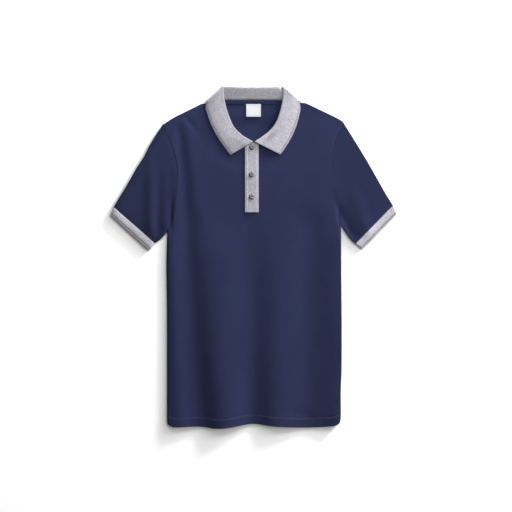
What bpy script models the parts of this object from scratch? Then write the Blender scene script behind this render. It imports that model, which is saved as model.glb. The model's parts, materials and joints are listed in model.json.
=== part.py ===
"""Short-sleeved polo shirt lying flat on its back, built piece by piece as it is cut and sewn.

Sizes are in millimetres and become metres as each mesh is made. +X is the wearer's left, +Y points
to the collar and +Z is up, with the origin in the middle of the shirt on the surface it lies on.
A cloth panel is described by its outer face and thickened inwards, so the back panel, the sleeves,
the cuffs and the hidden half of the collar rest on Z = 0 with their walls above it.
"""

import math
from collections import namedtuple

import bmesh
import bpy
import numpy as np

MM = 0.001

# Walls and gaps; meshes weld points that are closer than WELD, which is in metres
PANEL_WALL = 1.5
CUFF_WALL = 1.9
COLLAR_WALL = 1.6
BAND_WALL = 1.2
TRIM_WALL = 1.0
GAP = 0.3
CURVED_SEAM_GAP = 0.5
ARMHOLE_GAP = 1.2
NECK_POINT_GAP = 1.8
BAND_SLACK = 0.1
WELD = 1e-6

# How the folded edges of the cloth meet and are rounded; the steps are shares of the edge's radius
RIM_HALF_GAP = 0.3
RIM_HALF_GAP_AT_NECK = 0.75
RIM_WIDENS_FROM, RIM_WIDENS_TO = 324.0, 332.0
RIM_STRAIGHT = 0.9
ROUND_STEPS = (0.0, 0.134, 0.5, 1.0)
FLAT_STEPS = (0.0, 0.25, 0.5, 0.75, 1.0)

# Grid density
BODY_ROWS = 11
CHEST_ROWS = 9
SHOULDER_COLUMNS = 4
BACK_NECK_COLUMNS = 8
SLEEVE_RINGS = 8
CUFF_RINGS = 2
COLLAR_FRONT_FRAMES = 10
COLLAR_BACK_FRAMES = 10
CREASE_FRAMES = 6
STAND_STEPS, ROLL_STEPS, FALL_STEPS = 2, 4, 5
Grid = namedtuple("Grid", "columns rows")
TOP_BAND_GRID = Grid(4, 12)
UNDER_BAND_GRID = Grid(3, 8)
TAPE_GRID = Grid(9, 3)
LABEL_GRID = Grid(4, 5)

# Heights above the surface. The front dips under the collar, inside an oval round the neck, and the
# back rises over the collar's hidden half, inside a box with sloping sides.
CHEST_LEVEL = 7.5
COLLAR_DIP = 0.9
DIP_CENTRE_Y = 300.0
DIP_HALF_WIDTH, DIP_HALF_HEIGHT = 112.0, 96.0
DIP_SLOPE = 0.3
LOWEST_FRONT = 4.0
FALL_LIFT = 1.9
LIFT_STARTS_Y, LIFT_ENDS_Y = 282.0, 308.0
LIFT_STARTS_X, LIFT_ENDS_X = 138.0, 112.0
AXIS_LEVEL = 4.25
STAND_RADIUS = 1.55
FALL_AT_CREASE = 3.45
FALL_AT_CHEST = 4.6
FALL_AT_END = 5.1
FOLD_INSIDE_COLLAR = 1.9
CLEAR_OF_FALL = 1.5
END_LIES_UNTIL, CREASE_STARTS_AT = 0.45, 0.55

# Neck and placket
NECK_SEAM_Y = 338.6
NECK_END_STEP = 3.0
BACK_ROLL_DIP = 0.9
BACK_FALL_DIP = 3.5
BACK_LIFT = 5.0
BACK_LIFT_STARTS_Y, BACK_LIFT_ENDS_Y = 336.0, 367.0
PLACKET_RIGHT, PLACKET_LEFT = -18.7, 10.8
PLACKET_LOW = 96.5
UNDER_BAND_RIGHT, UNDER_BAND_LEFT = -16.0, 8.0
UNDER_BAND_LOW = 101.0
SLIT_LOW = 104.0

# Buttons
BUTTON_RADIUS = 5.75
BUTTON_STEPS = 24
Button = namedtuple("Button", "name x y")
BUTTONS = (
    Button("button_top", -3.7, 236.4),
    Button("button_middle", -4.3, 176.9),
    Button("button_low", -4.2, 129.5),
)
ButtonRing = namedtuple("ButtonRing", "radius height")
BUTTON_PROFILE = (
    ButtonRing(0.0, 1.3),
    ButtonRing(3.1, 1.3),
    ButtonRing(3.8, 1.9),
    ButtonRing(4.8, 2.1),
    ButtonRing(5.5, 1.7),
    ButtonRing(BUTTON_RADIUS, 1.1),
    ButtonRing(5.3, 0.3),
    ButtonRing(4.7, 0.0),
    ButtonRing(0.0, 0.0),
)

# Neck trims: right and left edge, low and high edge
Patch = namedtuple("Patch", "right left low high")
NECK_TAPE = Patch(-65.0, 64.0, 330.2, 337.4)
NECK_LABEL = Patch(-16.0, 15.3, 302.3, 329.4)

# Outline of the front hem, from the wearer's right to the left
Spot = namedtuple("Spot", "x y")
HEM = (
    Spot(-185.2, -358.6),
    Spot(-178.0, -363.4),
    Spot(-168.0, -365.8),
    Spot(-127.0, -364.6),
    Spot(-105.5, -365.2),
    Spot(-84.0, -368.4),
    Spot(-62.5, -367.9),
    Spot(-41.0, -364.8),
    Spot(-19.5, -360.6),
    Spot(2.0, -358.6),
    Spot(23.5, -361.3),
    Spot(45.0, -363.8),
    Spot(88.0, -366.1),
    Spot(131.0, -366.1),
    Spot(174.0, -362.8),
    Spot(186.0, -355.5),
)
BACK_HEM_RISE = 1.6

# One side of the shirt: +1 is the wearer's left. The armhole runs from shoulder tip to underarm,
# and the cuff's seam and open edge run from the sleeve's upper fold to its lower fold.
# A ruling of the collar runs from its roll to its outer edge; stand is the part of that width
# below the roll. The rulings start at the centre front and end at the fold over the shoulder.
Ruling = namedtuple("Ruling", "roll_x roll_y edge_x edge_y stand")
Side = namedtuple(
    "Side", "word sign side_seam armhole shoulder upper_fold lower_fold cuff_edge rulings"
)
RIGHT = Side(
    word="right",
    sign=-1,
    side_seam=(
        Spot(-185.2, -358.6),
        Spot(-186.2, -345.0),
        Spot(-186.4, -120.0),
        Spot(-187.6, -20.0),
        Spot(-185.8, 55.3),
    ),
    armhole=(
        Spot(-196.8, 284.6),
        Spot(-190.7, 272.4),
        Spot(-182.1, 255.0),
        Spot(-172.2, 231.0),
        Spot(-166.2, 208.1),
        Spot(-163.2, 180.0),
        Spot(-165.0, 145.0),
        Spot(-168.8, 110.0),
        Spot(-175.0, 75.0),
        Spot(-185.8, 55.3),
    ),
    shoulder=(
        Spot(-196.8, 284.6),
        Spot(-191.6, 288.0),
        Spot(-170.0, 301.5),
        Spot(-148.5, 312.3),
        Spot(-112.0, 330.4),
    ),
    upper_fold=(
        Spot(-196.8, 284.6),
        Spot(-222.9, 242.7),
        Spot(-235.9, 216.9),
        Spot(-253.0, 190.0),
        Spot(-267.8, 163.8),
        Spot(-301.0, 108.6),
    ),
    lower_fold=(Spot(-185.8, 55.3), Spot(-199.5, 39.1), Spot(-212.4, 30.1)),
    cuff_edge=(Spot(-308.3, 91.2), Spot(-224.3, 14.0)),
    rulings=(
        Ruling(-0.5, 248.3, -49.5, 219.7, 0.07),
        Ruling(-12.5, 255.0, -57.0, 229.0, 0.16),
        Ruling(-24.9, 262.7, -65.5, 241.0, 0.29),
        Ruling(-35.5, 272.5, -76.0, 256.0, 0.41),
        Ruling(-44.3, 283.7, -84.5, 271.0, 0.50),
        Ruling(-53.5, 305.0, -93.2, 290.0, 0.57),
        Ruling(-60.0, 327.0, -99.0, 307.0, 0.63),
        Ruling(-65.0, 350.0, -103.2, 320.0, 0.66),
        Ruling(-66.9, 369.9, -105.1, 333.9, 0.775),
    ),
)
LEFT = Side(
    word="left",
    sign=1,
    side_seam=(
        Spot(186.0, -355.5),
        Spot(187.8, -340.0),
        Spot(187.8, -285.0),
        Spot(189.6, -235.0),
        Spot(189.6, -110.0),
        Spot(187.9, 69.5),
    ),
    armhole=(
        Spot(192.0, 292.4),
        Spot(186.6, 274.8),
        Spot(176.6, 252.6),
        Spot(169.8, 227.9),
        Spot(167.0, 200.8),
        Spot(168.1, 158.9),
        Spot(171.6, 132.0),
        Spot(175.4, 109.4),
        Spot(179.6, 86.0),
        Spot(187.9, 69.5),
    ),
    shoulder=(
        Spot(192.0, 292.4),
        Spot(173.9, 302.6),
        Spot(152.4, 312.8),
        Spot(131.0, 323.2),
        Spot(112.0, 331.8),
    ),
    upper_fold=(
        Spot(192.0, 292.4),
        Spot(221.4, 245.0),
        Spot(249.7, 198.0),
        Spot(283.2, 139.0),
        Spot(300.0, 111.8),
    ),
    lower_fold=(Spot(187.9, 69.5), Spot(197.6, 52.7), Spot(210.1, 36.8), Spot(219.5, 29.2)),
    cuff_edge=(Spot(308.3, 93.2), Spot(233.7, 17.4)),
    rulings=(
        Ruling(0.9, 248.3, 57.4, 220.6, 0.07),
        Ruling(16.5, 258.2, 64.0, 229.5, 0.17),
        Ruling(32.9, 270.9, 72.0, 241.5, 0.33),
        Ruling(42.0, 281.5, 80.5, 256.0, 0.44),
        Ruling(49.2, 293.5, 87.5, 270.5, 0.52),
        Ruling(56.0, 312.5, 94.0, 289.0, 0.58),
        Ruling(60.8, 332.0, 98.4, 306.0, 0.60),
        Ruling(63.6, 351.0, 100.6, 319.5, 0.64),
        Ruling(64.7, 369.9, 102.2, 335.6, 0.805),
    ),
)

# Folds of the top layer: a soft ridge (rise above 0) or trough from a high to a low point
Fold = namedtuple("Fold", "x_high y_high x_low y_low width_high width_low rise_high rise_low fade")
FOLDS = (
    # body, from the wearer's right to the left
    Fold(-178, 40, -157, -365, 14, 16, 0.8, 1.6, 60),
    Fold(-157, 262, -113, -365, 12, 26, -1.7, -2.5, 40),
    Fold(-144, 262, -108, 80, 13, 19, 0.7, 1.0, 50),
    Fold(-84, 0, -62, -365, 46, 35, 3.4, 6.0, 90),
    Fold(0, 50, -2, -365, 27, 28, -1.2, -4.0, 60),
    Fold(54, 40, 53, -365, 34, 34, 0.6, 3.6, 60),
    Fold(122, 60, 118, -365, 32, 36, -3.0, -3.4, 60),
    Fold(186, 30, 186, -365, 28, 26, 2.0, 1.6, 60),
    # sleeves
    Fold(-220, 200, -221, 75, 13, 11, 1.4, 2.7, 40),
    Fold(-204, 165, -206, 60, 8, 9, -0.4, -0.9, 35),
    Fold(-191, 150, -193, 70, 7, 8, 0.3, 0.7, 35),
    Fold(-178, 175, -178, 70, 8, 6, -0.5, -0.9, 35),
    Fold(178, 120, 204, 60, 11, 12, -0.7, -2.2, 30),
    Fold(218, 135, 242, 60, 15, 17, 0.8, 1.9, 35),
)

# Base colour, roughness and sheen of each cloth
Finish = namedtuple("Finish", "name colour roughness sheen")
NAVY = Finish("navy_pique", (0.030, 0.036, 0.098), 0.9, 0.15)
NAVY_TAPE = Finish("navy_tape", (0.024, 0.029, 0.080), 0.85, 0.1)
GREY = Finish("grey_melange_rib", (0.50, 0.49, 0.54), 0.9, 0.15)
WHITE = Finish("woven_label", (0.82, 0.83, 0.84), 0.7, 0.0)
HORN = Finish("grey_button", (0.24, 0.22, 0.26), 0.35, 0.0)


def ease(value, low, high):
    """0 at low, 1 at high, and smooth between them; low may be above high."""
    share = min(max((value - low) / (high - low), 0.0), 1.0)
    return share * share * (3.0 - 2.0 * share)


def mix(start, end, share):
    return start + (end - start) * share


def smooth_line(rows, steps=10):
    """A Catmull-Rom line through the rows, as an array with a row for each point."""
    table = np.array(rows, float)
    last = len(table) - 1
    line = []
    for k in range(last):
        before, start, end, after = (table[min(max(k + shift, 0), last)] for shift in (-1, 0, 1, 2))
        for t in np.arange(steps) / steps:
            line.append(
                start
                + 0.5 * t * (end - before)
                + t * t * (before - 2.5 * start + 2.0 * end - 0.5 * after)
                + t * t * t * (1.5 * (start - end) + 0.5 * (after - before))
            )
    line.append(table[last])
    return np.array(line)


def reach(line):
    """Distance along the line at each of its points."""
    lengths = np.hypot(*np.diff(line[:, :2], axis=0).T)
    return np.concatenate([[0.0], np.cumsum(lengths)])


def along(line, share):
    """The line's values at a share of its length."""
    lengths = reach(line)
    return np.array([np.interp(share * lengths[-1], lengths, column) for column in line.T])


def crossing(line, axis, value):
    """The other coordinate where the line's x (axis 0) or y (axis 1) has this value."""
    order = np.argsort(line[:, axis])
    return float(np.interp(value, line[order, axis], line[order, 1 - axis]))


def distance(line, x, y):
    """Distance of a point from a line in plan."""
    start, step = line[:-1, :2], np.diff(line[:, :2], axis=0)
    length = np.maximum((step**2).sum(axis=1), 1e-12)
    share = np.clip((((x, y) - start) * step).sum(axis=1) / length, 0.0, 1.0)
    return float(np.hypot(*(start + share[:, None] * step - (x, y)).T).min())


def fold_rise(fold, x, y):
    """Height that one fold adds to the cloth at a point."""
    share = (fold.y_high - y) / (fold.y_high - fold.y_low)
    inside = min(max(share, 0.0), 1.0)
    centre = mix(fold.x_high, fold.x_low, share)
    width = mix(fold.width_high, fold.width_low, inside)
    ends = ease(y, fold.y_high + fold.fade, fold.y_high) * ease(y, fold.y_low - fold.fade, fold.y_low)
    return mix(fold.rise_high, fold.rise_low, inside) * ends * math.exp(-(((x - centre) / width) ** 2))


def top_height(x, y):
    """Height of the outer face of the top layer: front panel, sleeves and cuffs."""
    from_collar = math.hypot(x / DIP_HALF_WIDTH, (y - DIP_CENTRE_Y) / DIP_HALF_HEIGHT)
    height = CHEST_LEVEL - COLLAR_DIP * ease(from_collar, 1.0 + DIP_SLOPE, 1.0)
    height += sum(fold_rise(fold, x, y) for fold in FOLDS)
    return max(height, LOWEST_FRONT)


def back_height(x, y):
    """Height of the outer face of the back panel, which lies over the collar's hidden half."""
    across = ease(abs(x), LIFT_STARTS_X, LIFT_ENDS_X)
    return FALL_LIFT * ease(y, LIFT_STARTS_Y, LIFT_ENDS_Y) * across


class Crease:
    """The fold of the collar over one shoulder: an axis in plan that both layers turn about."""

    def __init__(self, side):
        roll_x, roll_y, edge_x, edge_y, self.stand = side.rulings[-1]
        self.width = math.hypot(edge_x - roll_x, edge_y - roll_y)
        self.along = np.array([edge_x - roll_x, edge_y - roll_y]) / self.width
        self.out = side.sign * np.array([-self.along[1], self.along[0]])
        self.start = np.array([roll_x, roll_y]) - (FALL_AT_CREASE + COLLAR_WALL / 2) * self.out

    def point(self, down, out):
        """A point in plan, `down` the axis from the roll and `out` from it."""
        return self.start + down * self.along + out * self.out

    def ruling(self):
        return Ruling(*self.start, *self.point(self.width, 0.0), self.stand)


class Outline:
    """The lines in plan that one side of the body, its sleeve and its cuff are drawn between."""

    def __init__(self, side):
        self.side = side
        self.crease = Crease(side)
        seam = self.crease.stand * self.crease.width
        self.neck_point = self.crease.point(seam + NECK_POINT_GAP, FOLD_INSIDE_COLLAR)
        clear_of_fall = self.crease.point(self.crease.width + CLEAR_OF_FALL, FOLD_INSIDE_COLLAR)
        self.seam = smooth_line(side.side_seam)
        self.armhole = smooth_line(side.armhole)
        self.tip, self.underarm = self.armhole[0], self.armhole[-1]
        self.shoulder = np.vstack([smooth_line(side.shoulder), clear_of_fall, self.neck_point])
        self.upper_fold = smooth_line(side.upper_fold)
        self.lower_fold = smooth_line(side.lower_fold)

    def edge_x(self, y):
        """Where the panel ends across the body: the side seam, or the armhole above it."""
        return crossing(self.armhole if y > self.underarm[1] else self.seam, 1, y)


OUTLINES = {side.word: Outline(side) for side in (RIGHT, LEFT)}
FRONT_HEM = smooth_line(HEM)


def fold_distance(x, y):
    """Distance from the body's folded edges, which are the side seams and the shoulders."""
    return min(
        distance(line, x, y) for edge in OUTLINES.values() for line in (edge.seam, edge.shoulder)
    )


def collar_rulings(side):
    """Rulings of the front half of the collar, from its end to the fold over the shoulder."""
    rows = list(side.rulings[:-1]) + [OUTLINES[side.word].crease.ruling()]
    line = smooth_line(rows)
    return [Ruling(*along(line, k / COLLAR_FRONT_FRAMES)) for k in range(COLLAR_FRONT_FRAMES + 1)]


def front_neck_line():
    """The front panel's neck edge, a gap below the seam of the collar's stand."""
    points = []
    for side in (RIGHT, LEFT):
        half = [OUTLINES[side.word].neck_point]
        for ruling in reversed(collar_rulings(side)[:-1]):
            width = math.hypot(ruling.edge_x - ruling.roll_x, ruling.edge_y - ruling.roll_y)
            share = ruling.stand + CURVED_SEAM_GAP / width
            x, y = mix(ruling.roll_x, ruling.edge_x, share), mix(ruling.roll_y, ruling.edge_y, share)
            half.append((x, y))
        points += half if side.sign < 0 else half[::-1]
    return np.array(points)


def back_neck_line():
    """The back panel's neck edge, straight across below the stand."""
    right, left = (OUTLINES[side.word].neck_point for side in (RIGHT, LEFT))
    y = NECK_SEAM_Y - CURVED_SEAM_GAP
    across = np.linspace(right[0] + NECK_END_STEP, left[0] - NECK_END_STEP, BACK_NECK_COLUMNS + 1)
    return np.array([right, *((x, y) for x in across), left])


def rounded(middle, half, from_edge, sign):
    """Height of a layer near a folded edge, where it turns down (sign 1) or up (sign -1) to meet
    the other layer a little off the middle."""
    share = min(from_edge / half, 1.0)
    arc = math.sqrt(1.0 - (1.0 - share) ** 2)
    return middle + sign * (RIM_STRAIGHT + (half - RIM_STRAIGHT) * arc)


class BodyGrid:
    """Columns and rows of a body panel. Both panels share their rows and the columns of their
    folded edges, so that those edges meet all along."""

    def __init__(self, neck_columns, hem_rise):
        """neck_columns are the neck edge's points in plan, from the right neck point to the left."""
        self.hem_rise = hem_rise
        self.right, self.left = OUTLINES["right"], OUTLINES["left"]
        right, left = (self._shoulder_tops(outline) for outline in (self.right, self.left))
        neck = [(x, y, False) for x, y in neck_columns[1:-1]]
        self.tops = right + neck + left[::-1]
        self.edge = len(FLAT_STEPS)
        self.columns = len(self.tops) + 2 * self.edge
        self.rows = BODY_ROWS + CHEST_ROWS + len(ROUND_STEPS) + len(FLAT_STEPS) - 1

    def _shoulder_tops(self, outline):
        """Where the columns between the armhole and the neck end on one shoulder."""
        lengths = reach(outline.shoulder)
        first, last = 2.0 * edge_radius(*outline.tip), lengths[-2]
        stops = [mix(first, last, k / (SHOULDER_COLUMNS - 1)) for k in range(SHOULDER_COLUMNS)]
        return [
            (*along(outline.shoulder, stop / lengths[-1]), True) for stop in (*stops, lengths[-1])
        ]

    def _row_y(self, row, hem_y, under_y, top_y, on_shoulder):
        """Height of one row of a column that runs from the hem past the underarm to its top."""
        low = [under_y + edge_radius(*self.right.underarm) * step for step in ROUND_STEPS]
        turn = edge_radius(*self.right.tip)
        steps = ROUND_STEPS[::-1] + (0.0,) if on_shoulder else FLAT_STEPS[::-1]
        high = [top_y - turn * step for step in steps]
        body = [mix(hem_y, under_y, k / BODY_ROWS) for k in range(BODY_ROWS)]
        chest = [mix(low[-1], high[0], k / CHEST_ROWS) for k in range(1, CHEST_ROWS)]
        return (body + low + chest + high)[row]

    def place(self, column, row):
        """Plan position of a grid point, and whether it lies on a folded rim."""
        if column < self.edge:
            return self._edge_point(self.right, column, row)
        if column >= self.columns - self.edge:
            return self._edge_point(self.left, self.columns - 1 - column, row)
        return self._inner_point(column - self.edge, row)

    def _edge_point(self, outline, step, row):
        """A point of one of the close columns along the side seam and the armhole."""
        inwards = -outline.side.sign
        top_x = outline.tip[0] + inwards * edge_radius(*outline.tip) * FLAT_STEPS[step]
        top_y = crossing(outline.shoulder, 0, top_x)
        hem_y = outline.seam[0][1] + self.hem_rise
        y = self._row_y(row, hem_y, outline.underarm[1], top_y, True)
        on_seam = row <= BODY_ROWS
        steps = (0.0,) + ROUND_STEPS if on_seam else FLAT_STEPS
        edge_x = outline.edge_x(y)
        x = edge_x + inwards * edge_radius(edge_x, y) * steps[step]
        if row == 0:
            y = crossing(FRONT_HEM, 0, x) + self.hem_rise
        return x, y, (on_seam and step == 0) or row == self.rows - 1

    def _inner_point(self, index, row):
        """A point of a column that ends on a shoulder or on the neck edge."""
        top_x, top_y, on_shoulder = self.tops[index]
        low_share = (index + 1) / (len(self.tops) + 1)
        low_x = mix(self.right.seam[0][0], self.left.seam[0][0], low_share)
        hem_y = crossing(FRONT_HEM, 0, low_x) + self.hem_rise
        under_y = mix(self.right.underarm[1], self.left.underarm[1], low_share)
        y = self._row_y(row, hem_y, under_y, top_y, on_shoulder)
        right_x, left_x = self._inside_edges(top_y)
        top_share = (top_x - right_x) / (left_x - right_x)
        right_x, left_x = self._inside_edges(y)
        x = mix(right_x, left_x, mix(low_share, top_share, ease(y, hem_y, top_y)))
        return x, y, on_shoulder and row == self.rows - 1

    def _inside_edges(self, y):
        """Where the close columns of both sides end at this height."""
        right_x, left_x = self.right.edge_x(y), self.left.edge_x(y)
        return right_x + edge_radius(right_x, y), left_x - edge_radius(left_x, y)


def edge_radius(x, y):
    """Radius that the cloth turns with at a folded edge: half the height between the layers."""
    return (top_height(x, y) - back_height(x, y)) / 2


def layer_height(x, y, rim, sign):
    """Height of the outer face of the front (sign 1) or back (sign -1) panel."""
    top, low = top_height(x, y), back_height(x, y)
    middle, half = (top + low) / 2, (top - low) / 2
    if rim:
        widening = ease(y, RIM_WIDENS_FROM, RIM_WIDENS_TO)
        return middle + sign * mix(RIM_HALF_GAP, RIM_HALF_GAP_AT_NECK, widening)
    return rounded(middle, half, fold_distance(x, y), sign)


def new_material(finish):
    material = bpy.data.materials.get(finish.name) or bpy.data.materials.new(finish.name)
    material.use_nodes = True
    shader = material.node_tree.nodes["Principled BSDF"]
    shader.inputs["Base Color"].default_value = (*finish.colour, 1.0)
    shader.inputs["Roughness"].default_value = finish.roughness
    shader.inputs["Metallic"].default_value = 0.0
    shader.inputs["Sheen Weight"].default_value = finish.sheen
    material.diffuse_color = (*finish.colour, 1.0)
    return material


def add_object(name, mesh, finish, collection):
    """A named object of this mesh, smooth shaded and in its own material."""
    thing = bpy.data.objects.new(name, mesh)
    mesh.materials.append(new_material(finish))
    mesh.shade_smooth()
    collection.objects.link(thing)
    return thing


def thicken(thing, wall, offset):
    """Turns an open sheet into a wall: offset -1 goes in from its face, 1 out, 0 both ways."""
    solidify = thing.modifiers.new("Wall", "SOLIDIFY")
    solidify.thickness = wall * MM
    solidify.offset = offset


def cloth_sheet(name, place, columns, rows, finish, collection, keep=None, tube=False):
    """A grid of columns x rows points at place(column, row) in millimetres. keep(column, row)
    says which cells stay. A tube's last row of cells closes on its first."""
    mesh = bpy.data.meshes.new(name)
    grid = bmesh.new()
    bmesh.ops.create_grid(grid, x_segments=columns - 1, y_segments=rows - 1, size=0.5)
    cells = {}
    for vertex in grid.verts:
        column = round((vertex.co.x + 0.5) * (columns - 1))
        row = round((vertex.co.y + 0.5) * (rows - 1))
        cells[vertex.index] = (column, row)
        vertex.co = [value * MM for value in place(column, row)]
    if keep:
        corners = {face: [cells[vertex.index] for vertex in face.verts] for face in grid.faces}
        cut = [
            face
            for face, spots in corners.items()
            if not keep(min(spot[0] for spot in spots), min(spot[1] for spot in spots))
        ]
        bmesh.ops.delete(grid, geom=cut, context="FACES")
    if tube:
        bmesh.ops.remove_doubles(grid, verts=grid.verts, dist=WELD)
        bmesh.ops.recalc_face_normals(grid, faces=grid.faces)
    grid.to_mesh(mesh)
    grid.free()
    return add_object(name, mesh, finish, collection)


def build_front(collection):
    """Front panel: its face carries the folds, and a slit is cut for the placket."""
    grid = BodyGrid(front_neck_line(), 0.0)
    slit_column = grid.columns // 2 - 1

    def place(column, row):
        x, y, rim = grid.place(column, row)
        return x, y, layer_height(x, y, rim, 1)

    def keep(column, row):
        return column != slit_column or grid.place(column, row)[1] < SLIT_LOW

    front = cloth_sheet("front", place, grid.columns, grid.rows, NAVY, collection, keep)
    thicken(front, PANEL_WALL, -1)


def build_back(collection):
    """Back panel: flat on the surface, with its side and shoulder edges turned up."""
    grid = BodyGrid(back_neck_line(), BACK_HEM_RISE)

    def place(column, row):
        x, y, rim = grid.place(column, row)
        return x, y, layer_height(x, y, rim, -1)

    back = cloth_sheet("back", place, grid.columns, grid.rows, NAVY, collection)
    thicken(back, PANEL_WALL, 1)


def fold_shares(length, radius, steps=ROUND_STEPS):
    """Shares of a length that are dense near both ends, where the cloth turns over."""
    ends = [radius * step / length for step in steps]
    middle = [mix(ends[-1], 1.0 - ends[-1], k / CHEST_ROWS) for k in range(1, CHEST_ROWS)]
    return np.array(ends + middle + [1.0 - share for share in reversed(ends)])


def armhole_shares(outline, grid):
    """The panels' rows along the armhole, as shares of its length from the shoulder tip."""
    edge = 0 if outline.side.sign < 0 else grid.columns - 1
    heights = [grid.place(edge, row)[1] for row in range(grid.rows - 2, BODY_ROWS - 1, -1)]
    lengths = reach(outline.armhole)
    order = np.argsort(outline.armhole[:, 1])
    return np.interp(heights, outline.armhole[order, 1], lengths[order]) / lengths[-1]


def patch_point(start, end, upper, lower, s, t):
    """A point of the surface between two seams (s = 0 and 1) and two folds (t = 0 and 1)."""
    across = mix(along(start, t), along(end, t), s)
    down = mix(along(upper, s), along(lower, s), t)
    corners = mix(mix(start[0], end[0], s), mix(start[-1], end[-1], s), t)
    return across + down - corners


def build_tube(name, lines, shares, rings, wall, finish, collection):
    """A flattened tube between two seams, flat below and with the top layer's folds above."""
    start, end, upper, lower = lines
    around = len(shares[0])

    def place(ring, index):
        s = ring / rings
        index %= 2 * (around - 1)
        below = index >= around
        step = 2 * (around - 1) - index if below else index
        x, y = patch_point(start, end, upper, lower, s, mix(shares[0][step], shares[1][step], s))
        half = top_height(x, y) / 2
        from_edge = 0.0 if step in (0, around - 1) else min(distance(upper, x, y), distance(lower, x, y))
        arc = math.sqrt(1.0 - (1.0 - min(from_edge / half, 1.0)) ** 2)
        return x, y, half + (-half if below else half) * arc

    tube = cloth_sheet(name, place, rings + 1, 2 * around - 1, finish, collection, tube=True)
    thicken(tube, wall, -1)


def beyond(line, gap):
    """The line with its start cut back by a gap."""
    start = along(line, gap / reach(line)[-1])
    return np.vstack([start, line[reach(line) > gap]])


def build_sleeve_and_cuff(side, collection):
    outline = OUTLINES[side.word]
    upper, lower = (beyond(line, ARMHOLE_GAP) for line in (outline.upper_fold, outline.lower_fold))
    armhole = outline.armhole + (side.sign * ARMHOLE_GAP, 0.0)
    armhole[0], armhole[-1] = upper[0], lower[0]
    seam = np.array([upper[-1], lower[-1]])
    seam_length = float(reach(seam)[-1])
    seam_shares = fold_shares(seam_length, top_height(*seam.mean(axis=0)) / 2)
    lines = (armhole, seam, upper, lower)
    shares = (armhole_shares(outline, BodyGrid(back_neck_line(), 0.0)), seam_shares)
    build_tube(f"sleeve_{side.word}", lines, shares, SLEEVE_RINGS, PANEL_WALL, NAVY, collection)

    edge = np.array(side.cuff_edge)
    down = (edge - seam) / np.hypot(*(edge - seam).T)[:, None]
    start = seam + GAP * down
    lines = (start, edge, np.array([start[0], edge[0]]), np.array([start[1], edge[1]]))
    shares = (seam_shares, seam_shares)
    build_tube(f"cuff_{side.word}", lines, shares, CUFF_RINGS, CUFF_WALL, GREY, collection)


# One section of the collar: its ruling, the direction from stand to fall, and the distances of
# stand and fall from the axis they turn about, and how far the roll rises behind the neck.
Frame = namedtuple("Frame", "ruling facing stand_radius fall_radius lift", defaults=(0.0,))


def front_frames(side):
    """Sections of the collar's front half, with the fall on top, from its end to the shoulder."""
    frames = []
    for k, ruling in enumerate(collar_rulings(side)):
        share = k / COLLAR_FRONT_FRAMES
        fall = mix(FALL_AT_END, FALL_AT_CHEST, ease(share, 0.0, END_LIES_UNTIL))
        fall = mix(fall, FALL_AT_CREASE, ease(share, CREASE_STARTS_AT, 1.0))
        frames.append(Frame(ruling, np.array([0.0, 0.0, 1.0]), STAND_RADIUS, fall))
    return frames


def crease_frames(side):
    """Sections where the collar turns over the shoulder, from the front to the back."""
    crease = OUTLINES[side.word].crease
    frames = []
    for k in range(1, CREASE_FRAMES):
        angle = math.pi * (0.5 - k / CREASE_FRAMES)
        facing = np.array([*(math.cos(angle) * crease.out), math.sin(angle)])
        frames.append(Frame(crease.ruling(), facing, STAND_RADIUS, FALL_AT_CREASE))
    return frames


def back_frames():
    """Sections across the back of the neck, with the stand on top, from right to left."""
    right, left = (OUTLINES[side.word].crease.ruling() for side in (RIGHT, LEFT))
    frames = []
    for k in range(COLLAR_BACK_FRAMES + 1):
        share = k / COLLAR_BACK_FRAMES
        middle = 4.0 * share * (1.0 - share)
        roll_x, roll_y, edge_x, edge_y = (mix(a, b, share) for a, b in zip(right[:4], left[:4]))
        roll_y -= BACK_ROLL_DIP * middle
        edge_y -= BACK_FALL_DIP * middle
        stand = (roll_y - NECK_SEAM_Y) / (roll_y - edge_y)
        ruling = Ruling(roll_x, roll_y, edge_x, edge_y, stand)
        lift = BACK_LIFT * ease(share, 0.0, 0.1) * ease(share, 1.0, 0.9)
        frames.append(Frame(ruling, np.array([0.0, 0.0, -1.0]), STAND_RADIUS, FALL_AT_CREASE, lift))
    return frames


def collar_section(frame, index):
    """A point of the collar's middle surface: up the stand, over the roll and down the fall."""
    roll = np.array([frame.ruling.roll_x, frame.ruling.roll_y])
    edge = np.array([frame.ruling.edge_x, frame.ruling.edge_y])
    width = float(np.hypot(*(edge - roll)))
    radius = (frame.fall_radius - frame.stand_radius) / 2
    turn = COLLAR_WALL / 2 + radius
    if index < STAND_STEPS:
        down = mix(frame.ruling.stand * width, turn, index / STAND_STEPS)
        off = frame.stand_radius
    elif index <= STAND_STEPS + ROLL_STEPS:
        angle = math.pi * (index - STAND_STEPS) / ROLL_STEPS
        down = turn - radius * math.sin(angle)
        off = frame.stand_radius + radius * (1.0 - math.cos(angle))
    else:
        down = mix(turn, width, (index - STAND_STEPS - ROLL_STEPS) / FALL_STEPS)
        off = frame.fall_radius
    plan = mix(roll, edge, down / width)
    level = AXIS_LEVEL + frame.lift * ease(plan[1], BACK_LIFT_STARTS_Y, BACK_LIFT_ENDS_Y)
    return np.array([*plan, level]) + off * frame.facing


def build_collar(collection):
    """Collar: one flat-knit strip folded at its roll and laid round the neck."""
    frames = front_frames(RIGHT) + crease_frames(RIGHT) + back_frames()
    frames += crease_frames(LEFT)[::-1] + front_frames(LEFT)[::-1]
    last = STAND_STEPS + ROLL_STEPS + FALL_STEPS

    def place(column, row):
        return collar_section(frames[column], row)

    collar = cloth_sheet("collar", place, len(frames), last + 1, GREY, collection)
    thicken(collar, COLLAR_WALL, 0)


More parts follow.
